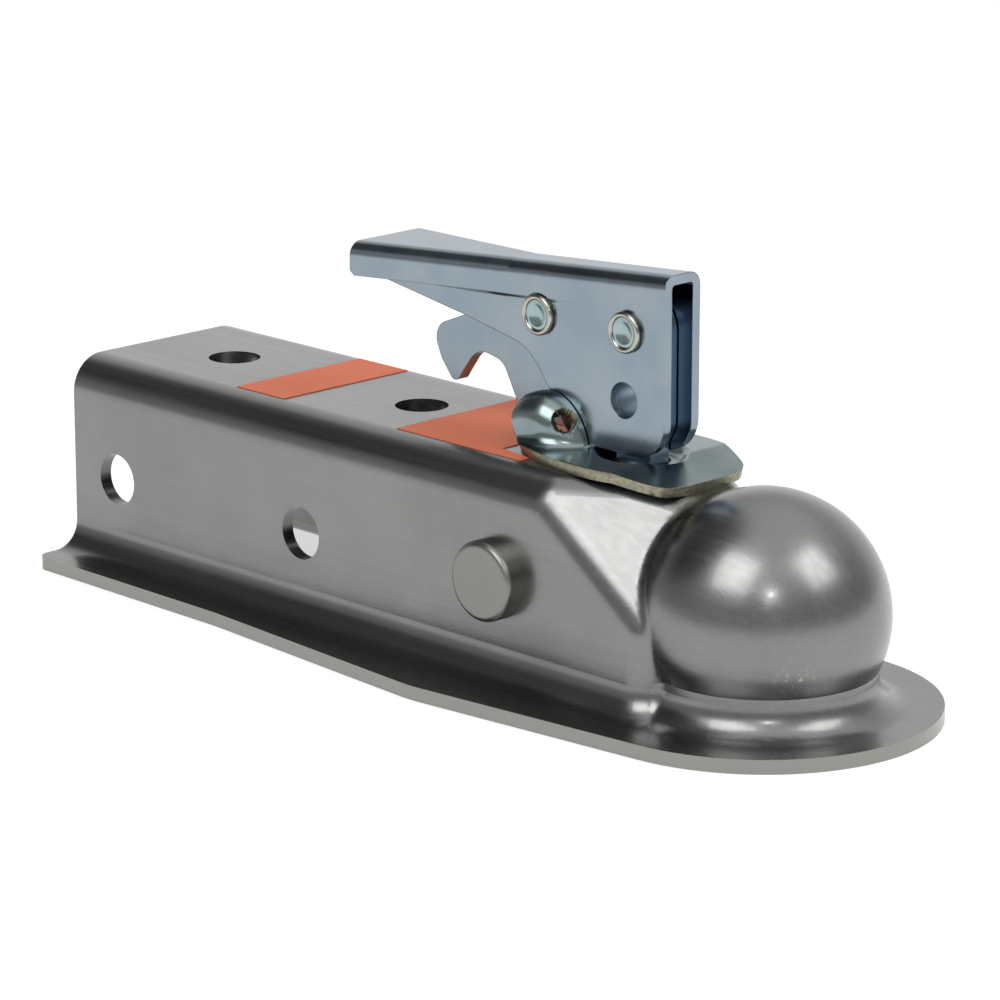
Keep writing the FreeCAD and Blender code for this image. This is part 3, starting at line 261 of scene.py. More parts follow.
# Ball clamp: the hinged jaw under the ball, cast in ductile iron and left as it came from the mould
# under a thin dull plating. Nothing of it shows but from below.
CAST_DARK = "#5F5F5D"
CAST_PALE = "#7C7B77"
SAND_MM = 0.9
BLOTCH_MM = 7.0


def plated_casting():
    """Dull zinc over sand-cast iron, a metal: dark, mottled and pitted by the mould's sand."""
    material, tree = new_material("plated_iron_casting")
    place = add_node(tree, "ShaderNodeTexCoord")
    sand = add_node(tree, "ShaderNodeTexNoise", {
        "Vector": place.outputs["Object"], "Scale": per_mm(SAND_MM), "Detail": 4.0})
    blotch = add_node(tree, "ShaderNodeTexNoise", {
        "Vector": place.outputs["Object"], "Scale": per_mm(BLOTCH_MM), "Detail": 3.0})
    metal = add_node(tree, "ShaderNodeMix", {
        "Factor": blotch.outputs["Fac"], "A": linear(CAST_DARK), "B": linear(CAST_PALE)},
        data_type="RGBA")
    bump = add_node(tree, "ShaderNodeBump", {
        "Height": sand.outputs["Fac"], "Strength": 0.35, "Distance": 0.25 * MM})
    skin = add_node(tree, "ShaderNodeBsdfPrincipled", {
        "Base Color": metal.outputs["Result"], "Metallic": 1.0, "Roughness": 0.5,
        "Normal": bump.outputs["Normal"]})
    add_node(tree, "ShaderNodeOutputMaterial", {"Surface": skin.outputs["BSDF"]})
    return material


dress(plated_casting(), "ball_clamp")


# Draw bolt: a forged bolt whose flat neck hangs on the lever's pivot, with a thread on its lower
# end. It is hardened, under thin zinc, and its steel blue colour is painted shade for the navy it
# shows in the shade between the lever's walls.
BOLT_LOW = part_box("draw_bolt")[0][2]
BOLT_X = sum(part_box("adjusting_nut")[corner][0] for corner in (0, 1)) / 2
THREAD_TALL = 12.0 * MM
THREAD_PITCH_MM = 1.5
# The two blues below are painted shade, for the navy of the bolt between the lever's walls.
BOLT_SHADE_BLUE_DARK = "#8496A8"
BOLT_SHADE_BLUE_PALE = "#93A3B2"
BOLT_CLOUD_MM = 9.0


def shade_blue_forging():
    """Thin zinc over forged steel, a metal: a steel blue that is painted shade, with paler clouds,
    and the ridges of the thread round the lowest part of the shank."""
    material, tree = new_material("forged_steel_shade_blue")
    place = add_node(tree, "ShaderNodeTexCoord")
    cloud = add_node(tree, "ShaderNodeTexNoise", {
        "Vector": place.outputs["Object"], "Scale": per_mm(BOLT_CLOUD_MM), "Detail": 3.0})
    metal = add_node(tree, "ShaderNodeMix", {
        "Factor": cloud.outputs["Fac"], "A": linear(BOLT_SHADE_BLUE_DARK), "B": linear(BOLT_SHADE_BLUE_PALE)},
        data_type="RGBA")
    shank = add_node(tree, "ShaderNodeMapping", {
        "Vector": place.outputs["Object"], "Location": (-BOLT_X, 0.0, 0.0)})
    where = add_node(tree, "ShaderNodeSeparateXYZ", {"Vector": shank.outputs["Vector"]})
    turn = add_node(tree, "ShaderNodeMath", {
        0: where.outputs["Y"], 1: where.outputs["X"]}, operation="ARCTAN2")
    climb = add_node(tree, "ShaderNodeMath", {
        0: where.outputs["Z"], 1: math.tau * per_mm(THREAD_PITCH_MM), 2: turn.outputs["Value"]},
        operation="MULTIPLY_ADD")
    ridge = add_node(tree, "ShaderNodeMath", {0: climb.outputs["Value"]}, operation="SINE")
    threaded = add_node(tree, "ShaderNodeMath", {
        0: where.outputs["Z"], 1: BOLT_LOW + THREAD_TALL}, operation="LESS_THAN")
    relief = add_node(tree, "ShaderNodeMath", {
        0: ridge.outputs["Value"], 1: threaded.outputs["Value"]}, operation="MULTIPLY")
    bump = add_node(tree, "ShaderNodeBump", {
        "Height": relief.outputs["Value"], "Strength": 1.0, "Distance": 0.3 * MM})
    skin = add_node(tree, "ShaderNodeBsdfPrincipled", {
        "Base Color": metal.outputs["Result"], "Metallic": 1.0, "Roughness": 0.36,
        "Normal": bump.outputs["Normal"]})
    add_node(tree, "ShaderNodeOutputMaterial", {"Surface": skin.outputs["BSDF"]})
    return material


dress(shade_blue_forging(), "draw_bolt")


# Lever: one strip of steel sheet, blanked and folded into a channel over the bolt and flared at the
# rear for the thumb. It is bright zinc plated, bluish and clear, and cloudy where the bath ran off.
ZINC_BLUE = "#8795A0"
ZINC_PALE = "#949FA6"
# The deeper blue is painted shade for the faces inside the lever's fold, placed by LEVER_INSIDE and
# OFF_MIDDLE.
ZINC_PAINTED_SHADE = "#7D8FA2"
ZINC_CLOUD_MM = 11.0
ZINC_RIPPLE_MM = 3.2
ZINC_GRAIN_MM = 0.5
LEVER_GLOSS = (0.15, 0.24)
LEVER_EDGE = 0.45 * MM
LEVER_INSIDE = 4.2 * MM
OFF_MIDDLE = 0.5 * MM


def bright_zinc(name, blue, pale, gloss_range, edge_round=0.0, inside=None):
    """Bright zinc plate with a clear blue passivation, a metal: it mirrors softly, drifts between a
    blue and a paler grey, ripples a little where the sheet did, and has a fine grain. Blanked edges
    are rounded by the tumbler. Walls that face each other get a painted shade of a deeper blue, and
    inside gives how near the middle such a wall lies."""
    material, tree = new_material(name)
    place = add_node(tree, "ShaderNodeTexCoord")
    cloud = add_node(tree, "ShaderNodeTexNoise", {
        "Vector": place.outputs["Object"], "Scale": per_mm(ZINC_CLOUD_MM), "Detail": 3.0})
    drift = add_node(tree, "ShaderNodeMapRange", {
        "Value": cloud.outputs["Fac"], "From Min": 0.35, "From Max": 0.65})
    colour = add_node(tree, "ShaderNodeMix", {
        "Factor": drift.outputs["Result"], "A": linear(blue), "B": linear(pale)},
        data_type="RGBA")
    # Painted shade: faces turned inwards near the middle of the fold take the deeper blue.
    if inside:
        where = add_node(tree, "ShaderNodeSeparateXYZ", {"Vector": place.outputs["Object"]})
        facing = add_node(tree, "ShaderNodeSeparateXYZ", {"Vector": place.outputs["Normal"]})
        inwards = add_node(tree, "ShaderNodeMath", {
            0: where.outputs["Y"], 1: facing.outputs["Y"]}, operation="MULTIPLY")
        turned_in = add_node(tree, "ShaderNodeMath", {
            0: inwards.outputs["Value"], 1: -OFF_MIDDLE}, operation="LESS_THAN")
        aside = add_node(tree, "ShaderNodeMath", {0: where.outputs["Y"]}, operation="ABSOLUTE")
        narrow = add_node(tree, "ShaderNodeMath", {
            0: aside.outputs["Value"], 1: inside}, operation="LESS_THAN")
        shaded = add_node(tree, "ShaderNodeMath", {
            0: turned_in.outputs["Value"], 1: narrow.outputs["Value"]}, operation="MULTIPLY")
        colour = add_node(tree, "ShaderNodeMix", {
            "Factor": shaded.outputs["Value"], "A": colour.outputs["Result"],
            "B": linear(ZINC_PAINTED_SHADE)}, data_type="RGBA")
    ripple = add_node(tree, "ShaderNodeTexNoise", {
        "Vector": place.outputs["Object"], "Scale": per_mm(ZINC_RIPPLE_MM), "Detail": 2.0})
    grain = add_node(tree, "ShaderNodeTexNoise", {
        "Vector": place.outputs["Object"], "Scale": per_mm(ZINC_GRAIN_MM), "Detail": 2.0})
    gloss = add_node(tree, "ShaderNodeMapRange", {
        "Value": cloud.outputs["Fac"], "From Min": 0.3, "From Max": 0.7,
        "To Min": gloss_range[0], "To Max": gloss_range[1]})
    relief = add_node(tree, "ShaderNodeMath", {
        0: grain.outputs["Fac"], 1: 0.15, 2: ripple.outputs["Fac"]}, operation="MULTIPLY_ADD")
    normal = {}
    if edge_round:
        rounded = add_node(tree, "ShaderNodeBevel", {"Radius": edge_round}, samples=6)
        normal["Normal"] = rounded.outputs["Normal"]
    bump = add_node(tree, "ShaderNodeBump", {
        "Height": relief.outputs["Value"], "Strength": 0.10, "Distance": 0.2 * MM, **normal})
    skin = add_node(tree, "ShaderNodeBsdfPrincipled", {
        "Base Color": colour.outputs["Result"], "Metallic": 1.0,
        "Roughness": gloss.outputs["Result"], "Normal": bump.outputs["Normal"]})
    add_node(tree, "ShaderNodeOutputMaterial", {"Surface": skin.outputs["BSDF"]})
    return material


dress(bright_zinc("bright_zinc_folded_sheet", ZINC_BLUE, ZINC_PALE, LEVER_GLOSS, LEVER_EDGE,
                  LEVER_INSIDE), "lever_handle")


# Saddle plate: a blank of sheet pressed into a dish round the bolt and a hood behind it, which is
# slit for the lever and pierced on each side. It spreads the bolt's pull over the roof. Lengths
# are in millimetres, back from the ball's centre, out from the middle, and up.
SADDLE_GAUGE = 2.4
SADDLE_TOP = 28.4 + SADDLE_GAUGE
SADDLE_BACK = 68.0
SADDLE_TIP = 17.2
REAR_CORNER = 5.0
REAR_CORNER_FROM = 0.6
TIP_CORNER = 2.2
TIP_CORNER_FROM = 0.7
TIP_BOW = 1.2
RIM_STATIONS = ((68.0, 14.5), (60.0, 16.6), (50.0, 19.2), (40.0, 20.0), (31.0, 19.2), (23.0, 16.2),
                (17.2, 12.9))
HOOD_BROW = 61.9
HOOD_FOOT = 49.9
HOOD_TALL = 11.4
HOOD_REAR_FALL = 1.5
HOOD_FULLNESS = 0.65
HOOD_HALF = 13.7
HOOD_TAPER_START = 61.5
HOOD_TAPER_RUN = 13.0
HOOD_SHOULDER = 6.5
HOOD_FLOW = 3.6
FLAT_LEFT = 0.3
SLIT_HALF = 6.02
SLIT_FRONT = 49.6
LIP_BEND = 30.0
LIP_FALL = math.radians(12.5)
DISH_DEEP = 2.0
DISH_TOP_R = 10.6
DISH_FLOOR_R = 9.0
BOLT_HOLE_R = 6.6
EAR_HOLE_BACK = 53.9
EAR_HOLE_OUT = 10.1
EAR_HOLE_UP = 37.1
EAR_HOLE_R = 3.0
PUNCH_WAY = (0.64, 0.71, 0.29)
RAGGED_EDGE = 1.35
STATIONS_ALONG = 118
STATIONS_ACROSS = 43
SLIT_STATIONS = 8
SMOOTHINGS = 3
TUMBLED_EDGE = 0.35
SHARP_EDGE = math.radians(50)


def rim_half(back):
    """Half the plate's width at a station, through its rim stations by an even curve."""
    spans = len(RIM_STATIONS) - 1
    span = next((i for i in range(spans) if RIM_STATIONS[i + 1][0] <= back), spans - 1)
    before, start, stop, after = [RIM_STATIONS[min(max(span + i, 0), spans)] for i in (-1, 0, 1, 2)]
    share = (start[0] - back) / (start[0] - stop[0])
    lean_in = (stop[1] - before[1]) / (before[0] - stop[0]) * (start[0] - stop[0])
    lean_out = (after[1] - start[1]) / (start[0] - after[0]) * (start[0] - stop[0])
    square, cube = share ** 2, share ** 3
    return (start[1] * (2 * cube - 3 * square + 1) + stop[1] * (3 * square - 2 * cube)
            + lean_in * (cube - 2 * square + share) + lean_out * (cube - square))


def crest_height(back):
    """How high the hood's crest stands over the plate: a flat arch behind its brow, then a dome."""
    if back >= HOOD_BROW:
        return HOOD_TALL - HOOD_REAR_FALL * ((back - HOOD_BROW) / (SADDLE_BACK - HOOD_BROW)) ** 2
    ahead = (HOOD_BROW - back) / (HOOD_BROW - HOOD_FOOT)
    return HOOD_TALL * (1 - ahead ** 2) ** HOOD_FULLNESS if ahead < 1 else 0.0


def section_bends(back):
    """Crest, wall, shoulder and foot of the section at a station, and the length along it."""
    crest = crest_height(back)
    ahead = max(0.0, (HOOD_TAPER_START - back) / HOOD_TAPER_RUN)
    wall = HOOD_HALF * math.sqrt(max(0.0, 1 - ahead ** 2))
    rim = max(rim_half(back), wall + FLAT_LEFT)
    flow = min(HOOD_FLOW, 0.4 * crest, rim - wall)
    shoulder = min(HOOD_SHOULDER, 0.95 * (crest - flow), 0.8 * wall)
    length = rim + crest + (math.pi / 2 - 2) * (shoulder + flow)
    return crest, wall, shoulder, flow, length


def on_saddle(back, along):
    """A point of the plate's upper face, in metres, at a station and a way along its section."""
    crest, wall, shoulder, flow, length = section_bends(back)
    side = math.copysign(1.0, along)
    way = abs(along)
    out, up = way, 0.0
    if crest > 0.01:
        quarter = math.pi / 2
        way -= wall - shoulder
        out, up = wall - shoulder + way, crest
        if way > 0:
            turned = min(way / shoulder, quarter)
            out = wall - shoulder + shoulder * math.sin(turned)
            up = crest - shoulder + shoulder * math.cos(turned)
            way -= quarter * shoulder
        if way > 0:
            up -= min(way, crest - shoulder - flow)
            way -= crest - shoulder - flow
        if way > 0:
            turned = min(way / flow, quarter)
            out = wall + flow - flow * math.cos(turned)
            up = flow - flow * math.sin(turned)
            way -= quarter * flow
        if way > 0:
            out += way
    lip = max(0.0, LIP_BEND - back) * math.tan(LIP_FALL)
    reach = math.hypot(back + BOLT_X / MM, out)
    sunk = min(1.0, max(0.0, (DISH_TOP_R - reach) / (DISH_TOP_R - DISH_FLOOR_R)))
    return Vector((-back, side * out, SADDLE_TOP + up - lip - DISH_DEEP * sunk)) * MM


def rear_end(share):
    """How far back the blank reaches at a share of its half width: its corners are rounded."""
    outer = max(0.0, (share - REAR_CORNER_FROM) / (1 - REAR_CORNER_FROM))
    return SADDLE_BACK - REAR_CORNER * (1 - math.sqrt(max(0.0, 1 - outer ** 2)))


def front_end(share):
    """How far forward the blank reaches at a share of its half width: a shallow arc."""
    outer = max(0.0, (share - TIP_CORNER_FROM) / (1 - TIP_CORNER_FROM))
    corner = TIP_CORNER * (1 - math.sqrt(max(0.0, 1 - outer ** 2)))
    return SADDLE_TIP + TIP_BOW * share ** 2 + corner


def off_axis(point, centre, way):
    """How far, and to which side, a point stands off a line."""
    reach = point - centre
    return reach - reach.dot(way) * way


def as_object(form, name):
    """Make a finished bmesh an object of the scene, at the origin."""
    mesh = bpy.data.meshes.new(name)
    form.to_mesh(mesh)
    form.free()
    piece = bpy.data.objects.new(name, mesh)
    bpy.context.collection.objects.link(piece)
    return piece


def pressed_saddle():
    """The pierced and pressed sheet, as its upper face; the modifiers give its wall and its rim."""
    sheet = bmesh.new()
    bmesh.ops.create_grid(sheet, x_segments=STATIONS_ALONG, y_segments=2 * STATIONS_ACROSS,
                          size=1.0)
    flat = {}
    for vert in sheet.verts:
        step = round(abs(vert.co.y) * STATIONS_ACROSS)
        share = step / STATIONS_ACROSS
        run = (1 - vert.co.x) / 2
        back = front_end(share) + (rear_end(share) - front_end(share)) * run
        length = section_bends(back)[-1]
        if step <= SLIT_STATIONS:
            along = SLIT_HALF * step / SLIT_STATIONS
        else:
            past_slit = (step - SLIT_STATIONS) / (STATIONS_ACROSS - SLIT_STATIONS)
            along = SLIT_HALF + (length - SLIT_HALF) * past_slit
        flat[vert] = Vector((back, math.copysign(along, vert.co.y)))

    bolt_hole = Vector((-BOLT_X / MM, 0))
    way_in, way_out, way_up = PUNCH_WAY
    punches = [(side, Vector((-EAR_HOLE_BACK, side * EAR_HOLE_OUT, EAR_HOLE_UP)) * MM,
                Vector((way_in, side * way_out, way_up)).normalized()) for side in (-1, 1)]
    pierced = []
    for face in sheet.faces:
        middle = sum((flat[vert] for vert in face.verts), Vector((0, 0))) / 4
        slit = abs(middle.y) < SLIT_HALF and middle.x > SLIT_FRONT
        eared = any(side * middle.y > SLIT_HALF
                    and off_axis(on_saddle(*middle), centre, way).length < EAR_HOLE_R * MM
                    for side, centre, way in punches)
        if slit or eared or (middle - bolt_hole).length < BOLT_HOLE_R:
            pierced.append(face)
    bmesh.ops.delete(sheet, geom=pierced, context="FACES")

    # A hole's ragged edge is drawn onto its circle, and the slit's straight edge is left alone.
    for vert in sheet.verts:
        off = flat[vert] - bolt_hole
        if vert.is_boundary and off.length < BOLT_HOLE_R * RAGGED_EDGE:
            flat[vert] = bolt_hole + off.normalized() * BOLT_HOLE_R
        vert.co = on_saddle(*flat[vert])
    for vert in sheet.verts:
        for side, centre, way in punches:
            off = off_axis(vert.co, centre, way)
            outside_slit = side * flat[vert].y > SLIT_HALF + 0.05
            at_hole = outside_slit and off.length < EAR_HOLE_R * RAGGED_EDGE * MM
            if vert.is_boundary and at_hole:
                vert.co += off.normalized() * EAR_HOLE_R * MM - off

    inner = [vert for vert in sheet.verts if not vert.is_boundary]
    for _ in range(SMOOTHINGS):
        bmesh.ops.smooth_vert(sheet, verts=inner, factor=0.5, use_axis_x=False, use_axis_y=True,
                              use_axis_z=True)
    bmesh.ops.recalc_face_normals(sheet, faces=sheet.faces)
    if sum(face.normal.z for face in sheet.faces) < 0:
        bmesh.ops.reverse_faces(sheet, faces=sheet.faces)
    for face in sheet.faces:
        face.smooth = True
    piece = as_object(sheet, "pressed_saddle")
    wall = piece.modifiers.new("sheet_wall", "SOLIDIFY")
    wall.thickness = SADDLE_GAUGE * MM
    wall.offset = -1.0
    wall.material_offset_rim = 1
    rim = piece.modifiers.new("tumbled_rim", "BEVEL")
    rim.width = TUMBLED_EDGE * MM
    rim.segments = 2
    rim.limit_method = "ANGLE"
    rim.angle_limit = SHARP_EDGE
    return piece


SADDLE_GREEN = "#7F8D90"
SADDLE_PALE = "#909C9B"
SADDLE_GLOSS = (0.18, 0.27)
BLANKED_EDGE = "#9B9985"
BLANKED_EDGE_DARK = "#858373"
TEAR_MM = 0.9


def blanked_edge():
    """The sheet's blanked edge under thin zinc, a metal: a warm pale grey, torn into short dark
    streaks where the punch broke through."""
    material, tree = new_material("blanked_zinc_edge")
    place = add_node(tree, "ShaderNodeTexCoord")
    tear = add_node(tree, "ShaderNodeTexNoise", {
        "Vector": place.outputs["Object"], "Scale": per_mm(TEAR_MM), "Detail": 3.0})
    broken = add_node(tree, "ShaderNodeMapRange", {
        "Value": tear.outputs["Fac"], "From Min": 0.45, "From Max": 0.62})
    metal = add_node(tree, "ShaderNodeMix", {
        "Factor": broken.outputs["Result"], "A": linear(BLANKED_EDGE),
        "B": linear(BLANKED_EDGE_DARK)}, data_type="RGBA")
    bump = add_node(tree, "ShaderNodeBump", {
        "Height": tear.outputs["Fac"], "Strength": 0.12, "Distance": 0.1 * MM})
    skin = add_node(tree, "ShaderNodeBsdfPrincipled", {
        "Base Color": metal.outputs["Result"], "Metallic": 1.0, "Roughness": 0.38,
        "Normal": bump.outputs["Normal"]})
    add_node(tree, "ShaderNodeOutputMaterial", {"Surface": skin.outputs["BSDF"]})
    return material


saddle = pressed_saddle()
saddle.data.materials.append(
    bright_zinc("bright_zinc_pressed_saddle", SADDLE_GREEN, SADDLE_PALE, SADDLE_GLOSS))
saddle.data.materials.append(blanked_edge())
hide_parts("saddle_plate")
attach(saddle, "frame")


# Trigger: a blanked plate that swings on its rivet between the lever's walls, with a finger hook
# behind and a catch nose in front. Two turned bushes keep it in the middle.
BLANKED_GLOSS = (0.22, 0.32)
TRIGGER_EDGE = 0.35 * MM

dress(bright_zinc("bright_zinc_blanked_plate", ZINC_BLUE, ZINC_PALE, BLANKED_GLOSS, TRIGGER_EDGE),
      "trigger", "trigger_bush_near", "trigger_bush_far")


# Rivets: the two tubular rivets that the lever and the trigger turn on. A spinning tool rolled
# their ends over, which leaves a raised rim round a smooth bowl; the rim's paler, warmer colour is
# partly a painted highlight.
# The rim's pale warm colour is partly a painted highlight.
RIVET_RIM_TINT_AND_HIGHLIGHT = "#B4B2A8"
RIVET_BOWL = "#9DB0B2"
RIVET_CLOUD_MM = 1.5
RIVET_R = 3.5
RIVET_HEAD_R = 4.9
RIVET_HEAD_TALL = 1.4
RIVET_UNDERCUT = 0.25
RIM_ROUND = 0.7
RIM_FADE = (-0.1, 0.3)
BOWL_R = 3.5
BOWL_DEEP = 1.1
BOWL_CURVE = 1.7
BOWL_STEPS = 8
RIM_STEPS = 10
RIVET_TURNS = 64


def head_profile(face):
    """Radius and height of a rivet's end, from the middle of its bowl over its rim to its shank."""
    points = []
    for i in range(BOWL_STEPS):
        share = i / BOWL_STEPS
        points.append((BOWL_R * share, face - BOWL_DEEP * (1 - share ** BOWL_CURVE)))
    middle = (BOWL_R + RIVET_HEAD_R) / 2
    for i in range(RIM_STEPS + 1):
        turn = math.pi * (1 - i / RIM_STEPS)
        points.append((middle + (RIVET_HEAD_R - middle) * math.cos(turn),
                       face - RIM_ROUND + RIM_ROUND * math.sin(turn)))
    points.append((RIVET_HEAD_R - RIVET_UNDERCUT, face - RIVET_HEAD_TALL))
    points.append((RIVET_R, face - RIVET_HEAD_TALL))
    return points


def spun_rivet(name, node):
    """A rivet with both heads, spun round its axis, where the node lies."""
    low, high = [[value / MM for value in corner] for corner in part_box(node)]
    middle = [(a + b) / 2 for a, b in zip(low, high)]
    near = head_profile((high[1] - low[1]) / 2)
    profile = near + [(radius, -face) for radius, face in reversed(near)]
    form = bmesh.new()
    verts = [form.verts.new(Vector((radius, height, 0)) * MM) for radius, height in profile]
    edges = [form.edges.new(pair) for pair in zip(verts, verts[1:])]
    bmesh.ops.spin(form, geom=verts + edges, cent=(0, 0, 0), axis=(0, 1, 0), angle=math.tau,
                   steps=RIVET_TURNS, use_merge=True)
    bmesh.ops.remove_doubles(form, verts=form.verts, dist=0.001 * MM)
    bmesh.ops.translate(form, verts=form.verts, vec=Vector(middle) * MM)
    bmesh.ops.recalc_face_normals(form, faces=form.faces)
    for face in form.faces:
        face.smooth = True
    return as_object(form, name), middle


def spun_zinc(name, middle):
    """Bright zinc on a spun rivet head, a metal: a greenish bowl in a paler warm rim, partly painted
    highlight.
    """
    material, tree = new_material(name)
    place = add_node(tree, "ShaderNodeTexCoord")
    centred = add_node(tree, "ShaderNodeMapping", {
        "Vector": place.outputs["Object"],
        "Location": (-middle[0] * MM, 0.0, -middle[2] * MM), "Scale": (1.0, 0.0, 1.0)})
    out = add_node(tree, "ShaderNodeVectorMath", {0: centred.outputs["Vector"]},
                   operation="LENGTH")
    # Painted highlight, in part: the raised rim is made paler than the bowl by its distance from the
    # axis.
    rim = add_node(tree, "ShaderNodeMapRange", {
        "Value": out.outputs["Value"], "From Min": (BOWL_R + RIM_FADE[0]) * MM,
        "From Max": (BOWL_R + RIM_FADE[1]) * MM})
    cloud = add_node(tree, "ShaderNodeTexNoise", {
        "Vector": place.outputs["Object"], "Scale": per_mm(RIVET_CLOUD_MM), "Detail": 3.0})
    metal = add_node(tree, "ShaderNodeMix", {
        "Factor": rim.outputs["Result"], "A": linear(RIVET_BOWL), "B": linear(RIVET_RIM_TINT_AND_HIGHLIGHT)},
        data_type="RGBA")
    gloss = add_node(tree, "ShaderNodeMapRange", {
        "Value": cloud.outputs["Fac"], "To Min": 0.14, "To Max": 0.28})
    bump = add_node(tree, "ShaderNodeBump", {
        "Height": cloud.outputs["Fac"], "Strength": 0.08, "Distance": 0.1 * MM})
    skin = add_node(tree, "ShaderNodeBsdfPrincipled", {
        "Base Color": metal.outputs["Result"], "Metallic": 1.0,
        "Roughness": gloss.outputs["Result"], "Normal": bump.outputs["Normal"]})
    add_node(tree, "ShaderNodeOutputMaterial", {"Surface": skin.outputs["BSDF"]})
    return material


for node in ("pivot_rivet", "trigger_rivet"):
    rivet, middle = spun_rivet("spun_" + node, node)
    rivet.data.materials.append(spun_zinc("spun_zinc_" + node, middle))
    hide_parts(node)
    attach(rivet, "lever")


# Nut and rocker washer: a hexagon nut and a half round washer under the clamp, which let the bolt
# rock as it pulls. They have the common bright zinc of bought fasteners.
FASTENER_GLOSS = (0.2, 0.32)

dress(bright_zinc("bright_zinc_fastener", ZINC_BLUE, ZINC_PALE, FASTENER_GLOSS), "adjusting_nut",
      "rocker_washer")


# Springs: the coil that pushes the clamp open and the small one that returns the trigger, both
# wound from hard drawn wire with a thin oily film.
SPRING_DARK = "#55585C"
SPRING_PALE = "#7D8186"
DIE_MARK_MM = 0.8


def spring_wire():
    """Hard drawn spring wire, a metal: dark grey with fine paler die marks and an oily gloss."""
    material, tree = new_material("hard_drawn_spring_wire")
    place = add_node(tree, "ShaderNodeTexCoord")
    marks = add_node(tree, "ShaderNodeTexNoise", {
        "Vector": place.outputs["Object"], "Scale": per_mm(DIE_MARK_MM), "Detail": 3.0})
    metal = add_node(tree, "ShaderNodeMix", {
        "Factor": marks.outputs["Fac"], "A": linear(SPRING_DARK), "B": linear(SPRING_PALE)},
        data_type="RGBA")
    gloss = add_node(tree, "ShaderNodeMapRange", {
        "Value": marks.outputs["Fac"], "To Min": 0.2, "To Max": 0.36})
    skin = add_node(tree, "ShaderNodeBsdfPrincipled", {
        "Base Color": metal.outputs["Result"], "Metallic": 1.0,
        "Roughness": gloss.outputs["Result"]})
    add_node(tree, "ShaderNodeOutputMaterial", {"Surface": skin.outputs["BSDF"]})
    return material


dress(spring_wire(), "clamp_spring", "trigger_spring")


# Floor: a wide sheet of white card that the flange stands on. Camera and metal both see it as
# white, by a little light of its own, and it still takes the object's shadow.
FLOOR_LEVEL = cad_box[0][2] - 0.1 * MM
FLOOR_REACH = 12.0
CARD_WHITE = "#BCBCBC"
CARD_GLOW = 0.62

sheet = bmesh.new()
bmesh.ops.create_grid(sheet, x_segments=1, y_segments=1, size=FLOOR_REACH,
                      matrix=Matrix.Translation((0, 0, FLOOR_LEVEL)))
floor = as_object(sheet, "floor")

white_card, tree = new_material("white_card")
path = add_node(tree, "ShaderNodeLightPath")
straight = add_node(tree, "ShaderNodeMath", {
    0: path.outputs["Is Camera Ray"], 1: path.outputs["Is Glossy Ray"]}, operation="ADD")
seen = add_node(tree, "ShaderNodeMath", {
    0: straight.outputs["Value"], 1: path.outputs["Is Transmission Ray"]}, operation="ADD",
    use_clamp=True)
glow = add_node(tree, "ShaderNodeMath", {
    0: seen.outputs["Value"], 1: CARD_GLOW}, operation="MULTIPLY")
card = add_node(tree, "ShaderNodeBsdfDiffuse", {"Color": linear(CARD_WHITE)})
shine = add_node(tree, "ShaderNodeEmission", {"Strength": glow.outputs["Value"]})
both = add_node(tree, "ShaderNodeAddShader", {0: card.outputs["BSDF"], 1: shine.outputs[0]})
add_node(tree, "ShaderNodeOutputMaterial", {"Surface": both.outputs[0]})
floor.data.materials.append(white_card)


# Light: a pale room that is dim at eye level and bright overhead, with a low white wall behind the
# object and a dark patch high over its tail, which draws the dark line along the bends. Two soft
# boxes stand high on the near side and at the nose, and one small lamp between them.
ROOM_BY_HEIGHT = ((0.0, 0.38), (0.25, 0.36), (0.42, 0.44), (0.6, 0.66), (0.8, 0.95), (1.0, 1.0))
WALL_TOWARDS = (-0.669, 0.743, 0.0)
WALL_LIGHT = 0.54
DARK_TOWARDS = (-0.654, -0.276, 0.705)
DARK_SHARE = 0.9

world = bpy.data.worlds.new("studio")
bpy.context.scene.world = world
world.use_nodes = True
tree = world.node_tree
tree.nodes.clear()
towards = add_node(tree, "ShaderNodeTexCoord")
height = add_node(tree, "ShaderNodeSeparateXYZ", {"Vector": towards.outputs["Generated"]})
room = add_node(tree, "ShaderNodeValToRGB", {"Fac": height.outputs["Z"]})
stops = room.color_ramp.elements
stops.remove(stops[1])
for spot, (level, light) in enumerate(ROOM_BY_HEIGHT):
    stop = stops[0] if spot == 0 else stops.new(level)
    stop.color = (light, light, light, 1.0)
behind = add_node(tree, "ShaderNodeVectorMath", {
    0: towards.outputs["Generated"], 1: WALL_TOWARDS}, operation="DOT_PRODUCT")
wall = add_node(tree, "ShaderNodeMapRange", {
    "Value": behind.outputs["Value"], "From Min": 0.35, "From Max": 0.85, "To Max": WALL_LIGHT},
    interpolation_type="SMOOTHSTEP")
below_top = add_node(tree, "ShaderNodeMapRange", {
    "Value": height.outputs["Z"], "From Min": 0.3, "From Max": 0.6, "To Min": 1.0, "To Max": 0.0})
low_wall = add_node(tree, "ShaderNodeMath", {
    0: wall.outputs["Result"], 1: below_top.outputs["Result"]}, operation="MULTIPLY")
tailwards = add_node(tree, "ShaderNodeVectorMath", {
    0: towards.outputs["Generated"], 1: DARK_TOWARDS}, operation="DOT_PRODUCT")
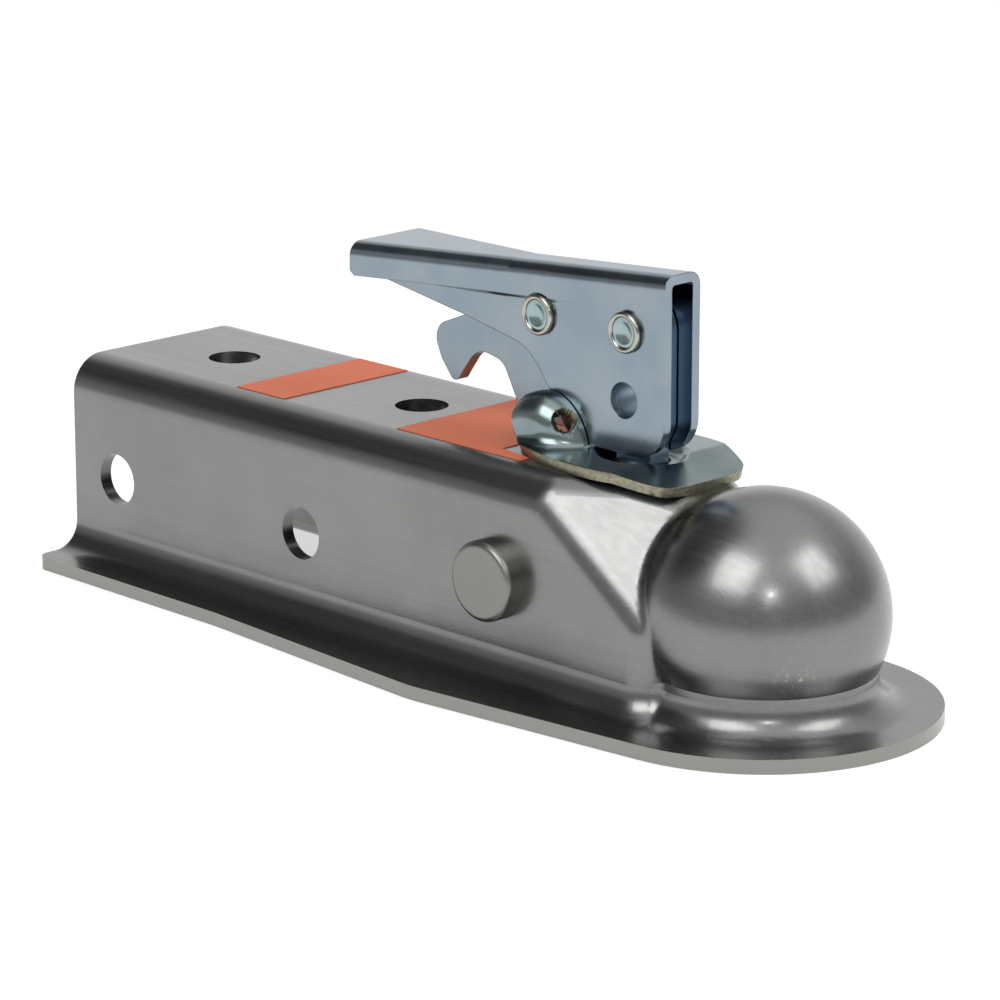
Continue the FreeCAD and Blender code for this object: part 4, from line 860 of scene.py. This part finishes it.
dark = add_node(tree, "ShaderNodeMapRange", {
    "Value": tailwards.outputs["Value"], "From Min": 0.8, "From Max": 0.95, "To Max": DARK_SHARE},
    interpolation_type="SMOOTHSTEP")
still_lit = add_node(tree, "ShaderNodeMath", {0: 1.0, 1: dark.outputs["Result"]},
                     operation="SUBTRACT")
dimmed = add_node(tree, "ShaderNodeMath", {
    0: room.outputs["Color"], 1: still_lit.outputs["Value"]}, operation="MULTIPLY")
total = add_node(tree, "ShaderNodeMath", {
    0: dimmed.outputs["Value"], 1: low_wall.outputs["Value"]}, operation="ADD")
air = add_node(tree, "ShaderNodeBackground", {
    "Color": linear("#FFFFFF"), "Strength": total.outputs["Value"]})
add_node(tree, "ShaderNodeOutputWorld", {"Surface": air.outputs["Background"]})


def soft_box(name, towards, away, side, light):
    """A square area lamp in a direction from the object, turned to face it, of even brightness."""
    data = bpy.data.lights.new(name, "AREA")
    data.shape = "SQUARE"
    data.size = side
    data.energy = math.pi * side * side * light
    lamp = bpy.data.objects.new(name, data)
    lamp.location = Vector(towards).normalized() * away
    lamp.rotation_euler = (-lamp.location).to_track_quat("-Z", "Y").to_euler()
    bpy.context.collection.objects.link(lamp)


soft_box("near_box", (0.055, -0.785, 0.906), 1.2, 0.7, 3.0)
soft_box("nose_box", (0.773, 0.312, 0.863), 1.2, 0.62, 2.5)
soft_box("small_lamp", (0.823, -0.716, 0.708), 1.3, 0.06, 80.0)


# Camera: set where the photograph was taken from, with a long lens, a little above the coupling's
# roof and looking down on it from its nose end and its near side.
CAMERA_PLACE = (0.6547, -0.7259, 0.2968)
CAMERA_PITCH = 0.27
CAMERA_YAW = 0.795
CAMERA_LENS = 162.0
CAMERA_SENSOR = 36.0

camera_data = bpy.data.cameras.new("camera")
camera_data.lens = CAMERA_LENS
camera_data.sensor_width = CAMERA_SENSOR
camera = bpy.data.objects.new("camera", camera_data)
camera.location = CAMERA_PLACE
camera.rotation_euler = (math.pi / 2 - CAMERA_PITCH, 0, CAMERA_YAW)
bpy.context.collection.objects.link(camera)
bpy.context.scene.camera = camera
bpy.context.scene.view_settings.view_transform = "Standard"
